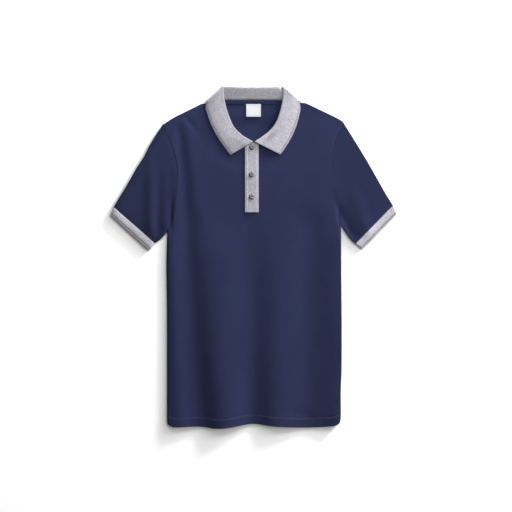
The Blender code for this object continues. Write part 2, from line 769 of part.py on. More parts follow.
def build_strip(name, patch, grid, base, wall, finish, collection):
    """A flat piece that lies on a layer: its lower face is base(x, y). A patch whose high edge is
    a line instead of a number ends along that line."""

    def place(column, row):
        x = mix(patch.right, patch.left, column / (grid.columns - 1))
        high = crossing(patch.high, 0, x) if isinstance(patch.high, np.ndarray) else patch.high
        y = mix(patch.low, high, row / (grid.rows - 1))
        return x, y, base(x, y)

    strip = cloth_sheet(name, place, grid.columns, grid.rows, finish, collection)
    thicken(strip, wall, 1)


def on_front(x, y):
    """Height just above the outer face of the front panel."""
    return top_height(x, y) + GAP


def inside_front(x, y):
    """Height of the lower face of a band just inside the front panel."""
    return top_height(x, y) - PANEL_WALL - GAP - BAND_WALL - BAND_SLACK


def inside_back(x, y):
    """Height just above the inner face of the back panel."""
    return back_height(x, y) + PANEL_WALL + GAP


def build_placket(collection):
    """Placket: the top band lies on the front panel, and the under band inside it."""
    neck = front_neck_line()
    top = Patch(PLACKET_RIGHT, PLACKET_LEFT, PLACKET_LOW, neck)
    under = Patch(UNDER_BAND_RIGHT, UNDER_BAND_LEFT, UNDER_BAND_LOW, neck)
    build_strip("placket_top_band", top, TOP_BAND_GRID, on_front, BAND_WALL, GREY, collection)
    build_strip("placket_under_band", under, UNDER_BAND_GRID, inside_front, BAND_WALL, GREY, collection)


def build_neck_trims(collection):
    """Tape and label, which lie on the inner face of the back panel."""
    build_strip("neck_tape", NECK_TAPE, TAPE_GRID, inside_back, TRIM_WALL, NAVY_TAPE, collection)
    build_strip("neck_label", NECK_LABEL, LABEL_GRID, inside_back, TRIM_WALL, WHITE, collection)


def build_button(button, collection):
    """A turned button with a raised rim, lying on the placket's top band."""
    mesh = bpy.data.meshes.new(button.name)
    profile = [(ring.radius * MM, 0.0, ring.height * MM) for ring in BUTTON_PROFILE]
    mesh.from_pydata(profile, [(k, k + 1) for k in range(len(profile) - 1)], [])
    thing = add_object(button.name, mesh, HORN, collection)
    base = top_height(button.x, button.y) + GAP + BAND_WALL + GAP
    thing.location = (button.x * MM, button.y * MM, base * MM)
    screw = thing.modifiers.new("Turn", "SCREW")
    screw.axis = "Z"
    screw.steps = screw.render_steps = BUTTON_STEPS
    screw.use_merge_vertices = True
    screw.merge_threshold = WELD


def main():
    for thing in list(bpy.data.objects):
        bpy.data.objects.remove(thing, do_unlink=True)
    collection = bpy.data.collections.new("polo_shirt")
    bpy.context.scene.collection.children.link(collection)
    build_back(collection)
    build_front(collection)
    for side in (RIGHT, LEFT):
        build_sleeve_and_cuff(side, collection)
    build_collar(collection)
    build_placket(collection)
    build_neck_trims(collection)
    for button in BUTTONS:
        build_button(button, collection)


main()
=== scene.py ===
"""Looks of a short-sleeved polo shirt lying flat on its back: knitted shells, trims and stitching.

Sizes of pieces are in millimetres and become metres as each mesh is made. Sizes of finishes and of
the studio are in metres. +X is the wearer's left, +Y points to the collar and +Z is up from the
surface that the shirt lies on.
"""

from __future__ import annotations

import json
import logging
import math
from collections.abc import Callable, Iterable, Sequence
from dataclasses import dataclass
from enum import Enum
from typing import ClassVar, NamedTuple

import bmesh
import bpy
import numpy as np
from bpy.types import Material, Mesh, Node, NodeSocket, Object
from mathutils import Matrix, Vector

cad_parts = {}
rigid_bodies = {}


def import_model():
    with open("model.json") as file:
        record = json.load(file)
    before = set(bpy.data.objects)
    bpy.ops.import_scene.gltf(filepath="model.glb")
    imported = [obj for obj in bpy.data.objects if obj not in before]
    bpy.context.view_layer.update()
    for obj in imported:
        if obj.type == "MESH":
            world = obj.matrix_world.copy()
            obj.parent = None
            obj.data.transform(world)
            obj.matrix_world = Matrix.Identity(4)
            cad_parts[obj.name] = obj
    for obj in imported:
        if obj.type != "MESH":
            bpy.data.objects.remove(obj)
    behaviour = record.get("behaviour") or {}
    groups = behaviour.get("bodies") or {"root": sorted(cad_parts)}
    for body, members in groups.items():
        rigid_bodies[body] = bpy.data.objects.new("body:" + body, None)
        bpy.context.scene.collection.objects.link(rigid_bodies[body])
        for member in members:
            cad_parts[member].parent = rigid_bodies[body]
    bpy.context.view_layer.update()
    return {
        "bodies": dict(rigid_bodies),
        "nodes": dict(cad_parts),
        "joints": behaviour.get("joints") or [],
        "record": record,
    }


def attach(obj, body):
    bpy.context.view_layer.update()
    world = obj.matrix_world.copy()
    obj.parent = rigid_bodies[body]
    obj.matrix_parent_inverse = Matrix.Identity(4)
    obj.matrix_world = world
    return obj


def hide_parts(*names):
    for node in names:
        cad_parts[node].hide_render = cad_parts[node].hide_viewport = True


MM = 0.001
LOG = logging.getLogger("polo_shirt")

Colour = tuple[float, float, float]
Number = np.ndarray | float
Corner = tuple[float, float, float]
Paint = Colour | NodeSocket
Field = Callable[[np.ndarray, np.ndarray], np.ndarray]


class Slot(Enum):
    """Material slots of the record."""

    BODY = "navy_pique"
    RIB = "grey_melange_rib"
    TAPE = "navy_tape"
    LABEL = "woven_label"
    BUTTON = "grey_button"


class Layer(Enum):
    """The two layers of the laid shirt."""

    TOP = 1
    UNDER = -1


class Spot(NamedTuple):
    """A place in plan."""

    x: float
    y: float


class Ruling(NamedTuple):
    """A straight line of the collar from its roll to its outer edge, with the stand as a share of it."""

    roll_x: float
    roll_y: float
    edge_x: float
    edge_y: float
    stand: float


def ease(value: Number, low: float, high: float) -> np.ndarray:
    """A smooth step.

    Args:
        value: where to read the step.
        low: value at which it is 0.
        high: value at which it is 1; may be below low.

    Returns:
        The step's height, from 0 to 1.
    """
    share = np.clip((value - low) / (high - low), 0.0, 1.0)
    return share * share * (3.0 - 2.0 * share)


def mix(start: Number, end: Number, share: Number) -> Number:
    """The value a share of the way from start to end."""
    return start + (end - start) * share


def bell(value: np.ndarray, width: Number) -> np.ndarray:
    """A soft bump of height 1 round 0."""
    return np.exp(-((value / width) ** 2))


class Line:
    """A smooth line in plan through a few points."""

    def __init__(self, rows: Sequence[Sequence[float]], steps: int = 10) -> None:
        """Lays a Catmull-Rom line through the rows.

        Args:
            rows: points, whose first two values are x and y.
            steps: pieces between two points; 1 keeps the points as they are.
        """
        table = np.array(rows, float)
        last = len(table) - 1
        points = []
        for k in range(last):
            before, start, end, after = (table[min(max(k + shift, 0), last)] for shift in (-1, 0, 1, 2))
            for t in np.arange(steps) / steps:
                points.append(
                    start
                    + 0.5 * t * (end - before)
                    + t * t * (before - 2.5 * start + 2.0 * end - 0.5 * after)
                    + t * t * t * (1.5 * (start - end) + 0.5 * (after - before))
                )
        points.append(table[last])
        self.points = np.array(points)
        lengths = np.hypot(*np.diff(self.points[:, :2], axis=0).T)
        self.reach = np.concatenate([[0.0], np.cumsum(lengths)])

    @property
    def length(self) -> float:
        """Length of the line."""
        return float(self.reach[-1])

    def along(self, share: Number) -> np.ndarray:
        """The line's values at these shares of its length."""
        at = np.asarray(share, float) * self.length
        return np.stack([np.interp(at, self.reach, column) for column in self.points.T], axis=-1)

    def crossing(self, axis: int, value: Number) -> np.ndarray:
        """The other coordinate where x (axis 0) or y (axis 1) has this value."""
        order = np.argsort(self.points[:, axis])
        return np.interp(value, self.points[order, axis], self.points[order, 1 - axis])

    def nearest(self, x: np.ndarray, y: np.ndarray) -> tuple[np.ndarray, np.ndarray]:
        """Closest approach of places to the line.

        Args:
            x: x of the places.
            y: y of the places.

        Returns:
            The distance from the line, and how far along the line the closest point is.
        """
        best = np.full(np.shape(x), np.inf)
        place = np.zeros(np.shape(x))
        for start, end, reach in zip(self.points[:-1], self.points[1:], self.reach):
            step = end[:2] - start[:2]
            length = max(float(np.hypot(*step)), 1e-9)
            share = np.clip(((x - start[0]) * step[0] + (y - start[1]) * step[1]) / length**2, 0, 1)
            away = np.hypot(start[0] + share * step[0] - x, start[1] + share * step[1] - y)
            closer = away < best
            best = np.where(closer, away, best)
            place = np.where(closer, reach + share * length, place)
        return best, place


# Outline of the front hem, from the wearer's right to the left
HEM = Line(
    (
        Spot(-185.2, -358.6),
        Spot(-178.0, -363.4),
        Spot(-168.0, -365.8),
        Spot(-127.0, -364.6),
        Spot(-105.5, -365.2),
        Spot(-84.0, -368.4),
        Spot(-62.5, -367.9),
        Spot(-41.0, -364.8),
        Spot(-19.5, -360.6),
        Spot(2.0, -358.6),
        Spot(23.5, -361.3),
        Spot(45.0, -363.8),
        Spot(88.0, -366.1),
        Spot(131.0, -366.1),
        Spot(174.0, -362.8),
        Spot(186.0, -355.5),
    )
)
BACK_HEM_RISE = 1.6


class CollarCrease:
    """The fold of the collar over one shoulder: an axis in plan that both its layers turn about."""

    fall_radius = 3.45
    half_wall = 0.8

    def __init__(self, last: Ruling, sign: int) -> None:
        """Places the axis just inside the collar's outer corner.

        Args:
            last: the ruling at the shoulder.
            sign: +1 on the wearer's left.
        """
        self.stand = last.stand
        self.width = math.hypot(last.edge_x - last.roll_x, last.edge_y - last.roll_y)
        self.along = np.array([last.edge_x - last.roll_x, last.edge_y - last.roll_y]) / self.width
        self.out = sign * np.array([-self.along[1], self.along[0]])
        self.start = np.array([last.roll_x, last.roll_y]) - (self.fall_radius + self.half_wall) * self.out

    def point(self, down: float, out: float) -> np.ndarray:
        """A place `down` the axis from the roll and `out` from it."""
        return self.start + down * self.along + out * self.out

    def ruling(self) -> Ruling:
        """The ruling on the axis."""
        return Ruling(*self.start, *self.point(self.width, 0.0), self.stand)


class Side:
    """One side of the shirt in plan.

    The armhole runs from the shoulder's tip to the underarm, and the cuff's seam and open edge run
    from the sleeve's upper fold to its lower one.
    """

    fold_inside_collar = 1.9
    clear_of_fall = 1.5
    neck_point_gap = 1.8

    def __init__(
        self,
        word: str,
        sign: int,
        side_seam: Sequence[Spot],
        armhole: Sequence[Spot],
        shoulder: Sequence[Spot],
        upper_fold: Sequence[Spot],
        lower_fold: Sequence[Spot],
        cuff_edge: Sequence[Spot],
        rulings: Sequence[Ruling],
    ) -> None:
        """Draws the side's lines.

        Args:
            word: "right" or "left", the wearer's.
            sign: +1 on the wearer's left.
            side_seam: hem to underarm.
            armhole: shoulder's tip to underarm.
            shoulder: shoulder's tip to the collar.
            upper_fold: shoulder's tip to the cuff.
            lower_fold: underarm to the cuff.
            cuff_edge: the cuff's open edge, upper end first.
            rulings: the collar from the centre front to the shoulder.
        """
        self.word, self.sign = word, sign
        self.crease = CollarCrease(rulings[-1], sign)
        self.rulings = Line((*rulings[:-1], self.crease.ruling()))
        seam = self.crease.stand * self.crease.width
        self.neck_point = self.crease.point(seam + self.neck_point_gap, self.fold_inside_collar)
        clear = self.crease.point(self.crease.width + self.clear_of_fall, self.fold_inside_collar)
        self.side_seam = Line(side_seam)
        self.armhole = Line(armhole)
        self.shoulder = Line((*Line(shoulder).points, clear, self.neck_point), 1)
        self.upper_fold = Line(upper_fold)
        self.lower_fold = Line(lower_fold)
        self.cuff_seam = Line((upper_fold[-1], lower_fold[-1]), 1)
        self.cuff_edge = Line(cuff_edge, 1)
        self.upper_cuff = Line((upper_fold[-1], cuff_edge[0]), 1)
        self.lower_cuff = Line((lower_fold[-1], cuff_edge[1]), 1)

    def folded_edges(self) -> list[Line]:
        """The lines where the cloth turns over from one layer to the other."""
        sleeve = [self.upper_fold, self.lower_fold, self.upper_cuff, self.lower_cuff]
        return [self.side_seam, self.shoulder, *sleeve]

    def edge_x(self, y: np.ndarray) -> np.ndarray:
        """Where the panels end across the body: the side seam, or the armhole above it."""
        above = self.armhole.crossing(1, y)
        return np.where(y > self.armhole.points[-1, 1], above, self.side_seam.crossing(1, y))


RIGHT = Side(
    word="right",
    sign=-1,
    side_seam=(
        Spot(-185.2, -358.6),
        Spot(-186.2, -345.0),
        Spot(-186.4, -120.0),
        Spot(-187.6, -20.0),
        Spot(-185.8, 55.3),
    ),
    armhole=(
        Spot(-196.8, 284.6),
        Spot(-190.7, 272.4),
        Spot(-182.1, 255.0),
        Spot(-172.2, 231.0),
        Spot(-166.2, 208.1),
        Spot(-163.2, 180.0),
        Spot(-165.0, 145.0),
        Spot(-168.8, 110.0),
        Spot(-175.0, 75.0),
        Spot(-185.8, 55.3),
    ),
    shoulder=(
        Spot(-196.8, 284.6),
        Spot(-191.6, 288.0),
        Spot(-170.0, 301.5),
        Spot(-148.5, 312.3),
        Spot(-112.0, 330.4),
    ),
    upper_fold=(
        Spot(-196.8, 284.6),
        Spot(-222.9, 242.7),
        Spot(-235.9, 216.9),
        Spot(-253.0, 190.0),
        Spot(-267.8, 163.8),
        Spot(-301.0, 108.6),
    ),
    lower_fold=(Spot(-185.8, 55.3), Spot(-199.5, 39.1), Spot(-212.4, 30.1)),
    cuff_edge=(Spot(-308.3, 91.2), Spot(-224.3, 14.0)),
    rulings=(
        Ruling(-0.5, 248.3, -49.5, 219.7, 0.07),
        Ruling(-12.5, 255.0, -57.0, 229.0, 0.16),
        Ruling(-24.9, 262.7, -65.5, 241.0, 0.29),
        Ruling(-35.5, 272.5, -76.0, 256.0, 0.41),
        Ruling(-44.3, 283.7, -84.5, 271.0, 0.50),
        Ruling(-53.5, 305.0, -93.2, 290.0, 0.57),
        Ruling(-60.0, 327.0, -99.0, 307.0, 0.63),
        Ruling(-65.0, 350.0, -103.2, 320.0, 0.66),
        Ruling(-66.9, 369.9, -105.1, 333.9, 0.775),
    ),
)
LEFT = Side(
    word="left",
    sign=1,
    side_seam=(
        Spot(186.0, -355.5),
        Spot(187.8, -340.0),
        Spot(187.8, -285.0),
        Spot(189.6, -235.0),
        Spot(189.6, -110.0),
        Spot(187.9, 69.5),
    ),
    armhole=(
        Spot(192.0, 292.4),
        Spot(186.6, 274.8),
        Spot(176.6, 252.6),
        Spot(169.8, 227.9),
        Spot(167.0, 200.8),
        Spot(168.1, 158.9),
        Spot(171.6, 132.0),
        Spot(175.4, 109.4),
        Spot(179.6, 86.0),
        Spot(187.9, 69.5),
    ),
    shoulder=(
        Spot(192.0, 292.4),
        Spot(173.9, 302.6),
        Spot(152.4, 312.8),
        Spot(131.0, 323.2),
        Spot(112.0, 331.8),
    ),
    upper_fold=(
        Spot(192.0, 292.4),
        Spot(221.4, 245.0),
        Spot(249.7, 198.0),
        Spot(283.2, 139.0),
        Spot(300.0, 111.8),
    ),
    lower_fold=(Spot(187.9, 69.5), Spot(197.6, 52.7), Spot(210.1, 36.8), Spot(219.5, 29.2)),
    cuff_edge=(Spot(308.3, 93.2), Spot(233.7, 17.4)),
    rulings=(
        Ruling(0.9, 248.3, 57.4, 220.6, 0.07),
        Ruling(16.5, 258.2, 64.0, 229.5, 0.17),
        Ruling(32.9, 270.9, 72.0, 241.5, 0.33),
        Ruling(42.0, 281.5, 80.5, 256.0, 0.44),
        Ruling(49.2, 293.5, 87.5, 270.5, 0.52),
        Ruling(56.0, 312.5, 94.0, 289.0, 0.58),
        Ruling(60.8, 332.0, 98.4, 306.0, 0.60),
        Ruling(63.6, 351.0, 100.6, 319.5, 0.64),
        Ruling(64.7, 369.9, 102.2, 335.6, 0.805),
    ),
)
SIDES = (RIGHT, LEFT)


class Fold(NamedTuple):
    """A long soft ridge (rise above 0) or trough of the top layer, from a high to a low point."""

    x_high: float
    y_high: float
    x_low: float
    y_low: float
    width_high: float
    width_low: float
    rise_high: float
    rise_low: float
    fade: float

    def height(self, x: np.ndarray, y: np.ndarray) -> np.ndarray:
        """Height that the fold adds.

        Args:
            x: x of the places.
            y: y of the places.

        Returns:
            Heights, below 0 in a trough.
        """
        share = (self.y_high - y) / (self.y_high - self.y_low)
        inside = np.clip(share, 0.0, 1.0)
        centre = mix(self.x_high, self.x_low, share)
        width = mix(self.width_high, self.width_low, inside)
        ends = ease(y, self.y_high + self.fade, self.y_high) * ease(y, self.y_low - self.fade, self.y_low)
        return mix(self.rise_high, self.rise_low, inside) * ends * bell(x - centre, width)


# Shares of a crease's length between which it rises at its start, and those at its end
CREASE_START = (-0.15, 0.35)
CREASE_END = (1.25, 0.55)


class Crease(NamedTuple):
    """A short crease in any direction, deepest in its middle, with a steep and a gentle side."""

    start: Spot
    end: Spot
    rise: float
    steep: float
    gentle: float

    def height(self, x: np.ndarray, y: np.ndarray) -> np.ndarray:
        """Height that the crease adds.

        Args:
            x: x of the places.
            y: y of the places.

        Returns:
            Heights, fading out a little way past both ends.
        """
        run = Spot(self.end.x - self.start.x, self.end.y - self.start.y)
        length = math.hypot(*run)
        share = ((x - self.start.x) * run.x + (y - self.start.y) * run.y) / length**2
        side = ((x - self.start.x) * run.y - (y - self.start.y) * run.x) / length
        ends = ease(share, *CREASE_START) * ease(share, *CREASE_END)
        return self.rise * ends * bell(side, np.where(side > 0.0, self.steep, self.gentle))


FOLDS = (
    # body, from the wearer's right to the left
    Fold(-178, 40, -157, -365, 14, 16, 0.8, 1.6, 60),
    Fold(-157, 262, -113, -365, 12, 26, -1.7, -2.5, 40),
    Fold(-144, 262, -108, 80, 13, 19, 0.7, 1.0, 50),
    Fold(-84, 0, -62, -365, 46, 35, 3.4, 6.0, 90),
    Fold(0, 50, -2, -365, 27, 28, -1.2, -4.0, 60),
    Fold(54, 40, 53, -365, 34, 34, 0.6, 3.6, 60),
    Fold(122, 60, 118, -365, 32, 36, -3.0, -3.4, 60),
    Fold(186, 30, 186, -365, 28, 26, 2.0, 1.6, 60),
    # sleeves
    Fold(-220, 200, -221, 75, 13, 11, 1.4, 2.7, 40),
    Fold(-204, 165, -206, 60, 8, 9, -0.4, -0.9, 35),
    Fold(-191, 150, -193, 70, 7, 8, 0.3, 0.7, 35),
    Fold(-178, 175, -178, 70, 8, 6, -0.5, -0.9, 35),
    Fold(178, 120, 204, 60, 11, 12, -0.7, -2.2, 30),
    Fold(218, 135, 242, 60, 15, 17, 0.8, 1.9, 35),
)
CREASES = (
    Crease(Spot(-150, 303), Spot(-125, 271), -1.3, 2.8, 7.0),
    Crease(Spot(-190, 281), Spot(-173, 236), -0.5, 3.0, 7.0),
    Crease(Spot(-179, 52), Spot(-175, 128), -1.1, 3.0, 6.0),
    Crease(Spot(182, 112), Spot(183, 70), -1.0, 3.0, 6.0),
    Crease(Spot(-300, 96), Spot(-262, 150), 0.5, 5.0, 8.0),
    Crease(Spot(262, 98), Spot(266, 112), -0.3, 2.2, 4.0),
    Crease(Spot(150, 285), Spot(96, 232), -0.35, 8.0, 14.0),
    Crease(Spot(60, -330), Spot(148, -352), -0.5, 4.0, 9.0),
    Crease(Spot(-140, -352), Spot(-102, -340), 0.4, 5.0, 9.0),
)


class Wave(NamedTuple):
    """A low wave whose crests wander: its rise, its lengths along x and y, and a slower inner wave."""

    rise: float
    x_length: float
    y_length: float
    shift: float
    wander: float
    wander_x_length: float
    wander_y_length: float

    def height(self, x: np.ndarray, y: np.ndarray) -> np.ndarray:
        """Height that the wave adds at these places."""
        inner = self.wander * np.sin(x / self.wander_x_length + y / self.wander_y_length)
        return self.rise * np.sin(x / self.x_length + y / self.y_length + inner + self.shift)


# Slight waves in no order, as cloth smoothed by hand has
UNEVENNESS = (
    Wave(0.16, 17.0, math.inf, 0.0, 0.8, math.inf, 41.0),
    Wave(0.14, math.inf, 29.0, 1.0, 1.3, 37.0, math.inf),
    Wave(0.07, 7.0, -19.0, 2.0, 0.0, math.inf, math.inf),
)


@dataclass
class Drape:
    """Heights of the laid shirt's two layers above its surface, seams and folded edges included."""

    chest: float = 7.5
    collar_dip: float = 0.9
    dip_centre_y: float = 300.0
    dip_half_width: float = 112.0
    dip_half_height: float = 96.0
    dip_slope: float = 0.3
    lowest: float = 4.0
    lift: float = 1.9
    lift_y: tuple[float, float] = (282.0, 308.0)
    lift_x: tuple[float, float] = (138.0, 112.0)
    # the soft roll along the folded edges of the wearer's right, and the crisp one of the left
    roll_share: float = 0.78
    roll_width: float = 15.0
    crisp_radius: float = 1.3
    relief_margin: float = 3.0
    # a seam pulls the cloth down in a narrow dip and a wide, puckered hollow
    seam_depth: float = 0.75
    seam_width: float = 1.5
    seam_hollow: float = 0.35
    seam_hollow_width: float = 8.0
    cuff_pull: float = 1.0
    armhole_pull_right: float = 0.1
    armhole_pull_left: float = 0.3
    armhole_pull_low: float = 0.05
    armhole_pull_change: tuple[float, float] = (0.25, 0.6)
    armhole_step: float = 0.5
    armhole_step_width: float = 0.9
    armhole_step_fade: tuple[float, float] = (12.0, 2.0)
    armhole_step_end: tuple[float, float] = (0.75, 0.3)
    pucker: float = 0.3
    pucker_length: float = 13.0
    pucker_wander_length: float = 23.0
    # the hem's turning, with a groove and a ripple along its stitching
    hem_width: float = 20.0
    hem_step: float = 0.2
    hem_step_half_width: float = 0.8
    hem_groove: float = 0.14
    hem_groove_width: float = 1.1
    hem_ripple: Wave = Wave(0.12, 5.0, math.inf, 0.0, 1.5, 31.0, math.inf)
    hem_ripple_width: float = 7.0

    def free(self, x: np.ndarray, y: np.ndarray) -> np.ndarray:
        """Height of the top layer's outer face away from edges and seams.

        Args:
            x: x of the places.
            y: y of the places.

        Returns:
            Heights above the surface.
        """
        from_collar = np.hypot(x / self.dip_half_width, (y - self.dip_centre_y) / self.dip_half_height)
        height = self.chest - self.collar_dip * ease(from_collar, 1.0 + self.dip_slope, 1.0)
        for form in (*FOLDS, *CREASES, *UNEVENNESS):
            height = height + form.height(x, y)
        return np.maximum(height, self.lowest)

    def back(self, x: np.ndarray, y: np.ndarray) -> np.ndarray:
        """Height of the outer face of the back, which lies over the collar's hidden half."""
        return self.lift * ease(y, *self.lift_y) * ease(np.abs(x), *self.lift_x)

    def from_edge(self, x: np.ndarray, y: np.ndarray) -> np.ndarray:
        """Distance from the nearest folded edge."""
        lines = [line for side in SIDES for line in side.folded_edges()]
        return np.min([line.nearest(x, y)[0] for line in lines], axis=0)

    def seam(self, x: np.ndarray, y: np.ndarray) -> np.ndarray:
        """How far the sewn seams of armholes and cuffs pull the top layer down.

        Args:
            x: x of the places.
            y: y of the places.

        Returns:
            Depths below the free cloth.
        """
        pulls = {
            RIGHT.armhole: (self.armhole_pull_right, self.armhole_pull_low),
            LEFT.armhole: (self.armhole_pull_left, self.armhole_pull_low),
            RIGHT.cuff_seam: (self.cuff_pull, self.cuff_pull),
            LEFT.cuff_seam: (self.cuff_pull, self.cuff_pull),
        }
        drop = self.step_at_armhole(x, y)
        for line, (first, last) in pulls.items():
            away, place = line.nearest(x, y)
            force = mix(first, last, ease(place / line.length, *self.armhole_pull_change))
            wander = np.sin(place / self.pucker_wander_length)
            pull = 1.0 + self.pucker * np.sin(math.tau * place / self.pucker_length + wander)
            drop = drop + force * self.seam_depth * bell(away, self.seam_width)
            drop = drop + force * self.seam_hollow * pull * bell(away, self.seam_hollow_width)
        return drop

    def step_at_armhole(self, x: np.ndarray, y: np.ndarray) -> np.ndarray:
        """The low step at the wearer's-right armhole, down from the body to the sleeve.

        Args:
            x: x of the places.
            y: y of the places.

        Returns:
            Depths below the free cloth, above 0 on the sleeve's side.
        """
        line = RIGHT.armhole
        away, place = line.nearest(x, y)
        away = np.where(x < line.crossing(1, y), away, -away)
        depth = self.armhole_step * ease(place / line.length, *self.armhole_step_end)
        side = ease(away, -self.armhole_step_width, self.armhole_step_width) - 0.5
        return depth * side * ease(np.abs(away), *self.armhole_step_fade)

    def hem(self, x: np.ndarray, y: np.ndarray) -> np.ndarray:
        """The turned hem's relief on the front: twice as thick below its stitching.

        Args:
            x: x of the places.
            y: y of the places.

        Returns:
            Heights above the free cloth.
        """
        up = y - HEM.crossing(0, x)
        from_stitching = up - self.hem_width
        on_body = ease(up, self.hem_width * 3.0, self.hem_width * 2.0)
        step = self.hem_step * ease(from_stitching, self.hem_step_half_width, -self.hem_step_half_width)
        groove = self.hem_groove * bell(from_stitching, self.hem_groove_width)
        ripple = self.hem_ripple.height(x, y) * bell(from_stitching, self.hem_ripple_width)
        return on_body * (step - groove + ripple)

    def height(self, x: np.ndarray, y: np.ndarray, layer: Layer) -> np.ndarray:
        """Height of a layer's outer face.

        Args:
            x: x of the places.
            y: y of the places.
            layer: the top or the under layer.

        Returns:
            Heights above the surface. Both layers meet at folded edges, more sharply at the left.
        """
        top, low = self.free(x, y), self.back(x, y)
        middle, half = (top + low) / 2, (top - low) / 2
        away = self.from_edge(x, y)
        radius = np.where(x > 0.0, self.crisp_radius, half)
        share = np.where(x > 0.0, 1.0, self.roll_share)
        arc = np.sqrt(1.0 - (1.0 - np.minimum(away / radius, 1.0)) ** 2)
        if layer is Layer.UNDER:
            return middle - half * arc
        roll = mix(ease(away, 0.0, self.roll_width), arc, share)
        settled = ease(away, 0.0, self.relief_margin)
        return middle + half * roll + settled * (self.hem(x, y) - self.seam(x, y))

    def top(self, x: np.ndarray, y: np.ndarray) -> np.ndarray:
        """Height of the top layer's outer face."""
        return self.height(x, y, Layer.TOP)


DRAPE = Drape()


class Tree:
    """Builds the node tree of one material round its Principled shader."""

    def __init__(self, name: str) -> None:
        """Makes the material, which starts with one Principled shader.

        Args:
            name: its name.
        """
        self.material = bpy.data.materials.new(name)
        self.material.use_nodes = True
        self.nodes = self.material.node_tree.nodes
        self.shader = self.nodes["Principled BSDF"]

    def set(self, **values: float | Sequence[float]) -> None:
        """Sets sockets of the shader; an underscore stands for a space."""
        for key, value in values.items():
            self.shader.inputs[key.replace("_", " ").title().replace("Ior", "IOR")].default_value = value

    def plug(self, socket: NodeSocket, value: NodeSocket | float | Sequence[float]) -> None:
        """Links an output to a socket, or sets the socket's value.

        Args:
            socket: the input to feed.
            value: what feeds it.
        """
        if isinstance(value, NodeSocket):
            self.material.node_tree.links.new(value, socket)
        else:
            socket.default_value = value

    def add(self, kind: str, **settings: object) -> Node:
        """Adds a shader node.

        Args:
            kind: its type without the leading word, such as "TexNoise".
            **settings: properties to set on it.

        Returns:
            The node.
        """
        node = self.nodes.new("ShaderNode" + kind)
        for key, value in settings.items():
            setattr(node, key, value)
        return node

    def math(self, operation: str, *values: NodeSocket | float) -> NodeSocket:
        """Works out a math operation.

        Args:
            operation: its name on the Math node.
            *values: one to three values.

        Returns:
            The result.
        """
        node = self.add("Math", operation=operation)
        for socket, value in zip(node.inputs, values):
            self.plug(socket, value)
        return node.outputs[0]

    def cloth_uv(self) -> tuple[NodeSocket, NodeSocket]:
        """Reads the cloth's own coordinates in metres.

        Returns:
            Places along its courses, and along its wales.
        """
        split = self.add("SeparateXYZ")
        self.plug(split.inputs[0], self.add("UVMap", uv_map="cloth").outputs[0])
        return split.outputs[0], split.outputs[1]

    def wave(self, along: NodeSocket, period: float, shift: NodeSocket | float = 0.0) -> NodeSocket:
        """A sine from -1 to 1 that repeats every period, in metres."""
        turned = self.math("MULTIPLY_ADD", along, math.tau / period, shift)
        return self.math("SINE", turned)

    def noise(self, scale: float, detail: float, stretch: Sequence[float] = (1, 1, 1)) -> NodeSocket:
        """Soft noise from 0 to 1 over the cloth's coordinates.

        Args:
            scale: features per metre.
            detail: octaves.
            stretch: how much finer the noise is along each coordinate.

        Returns:
            The noise's value.
        """
        mapping = self.add("Mapping")
        self.plug(mapping.inputs["Vector"], self.add("UVMap", uv_map="cloth").outputs[0])
        mapping.inputs["Scale"].default_value = stretch
        node = self.add("TexNoise")
        self.plug(node.inputs["Vector"], mapping.outputs[0])
        self.plug(node.inputs["Scale"], scale)
        self.plug(node.inputs["Detail"], detail)
        return node.outputs[0]

    def blend(self, share: NodeSocket, first: Paint, second: Paint) -> NodeSocket:
        """Blends two colours.

        Args:
            share: how far the blend is from the first to the second.
            first: a colour.
            second: another colour.

        Returns:
            The blend.
        """
        node = self.add("Mix", data_type="RGBA")
        self.plug(node.inputs[0], share)
        for socket, colour in ((node.inputs[6], first), (node.inputs[7], second)):
            self.plug(socket, colour if isinstance(colour, NodeSocket) else (*colour, 1.0))
        return node.outputs[2]

    def relief(self, height: NodeSocket, depth: float) -> None:
        """Gives the surface its finest relief, as bump.

        Args:
            height: the relief, where 1 stands for the whole depth.
            depth: the depth in metres.
        """
        bump = self.add("Bump")
        bump.inputs["Strength"].default_value = 1.0
        bump.inputs["Distance"].default_value = depth
        self.plug(bump.inputs["Height"], height)
        self.plug(self.shader.inputs["Normal"], bump.outputs[0])


# Values that a mesh carries for its material: how much painted shade it takes, and its distance from an axis
PAINTED_SHADE_LAYER = "painted_shade_amount"
RADIUS_LAYER = "radius_mm"


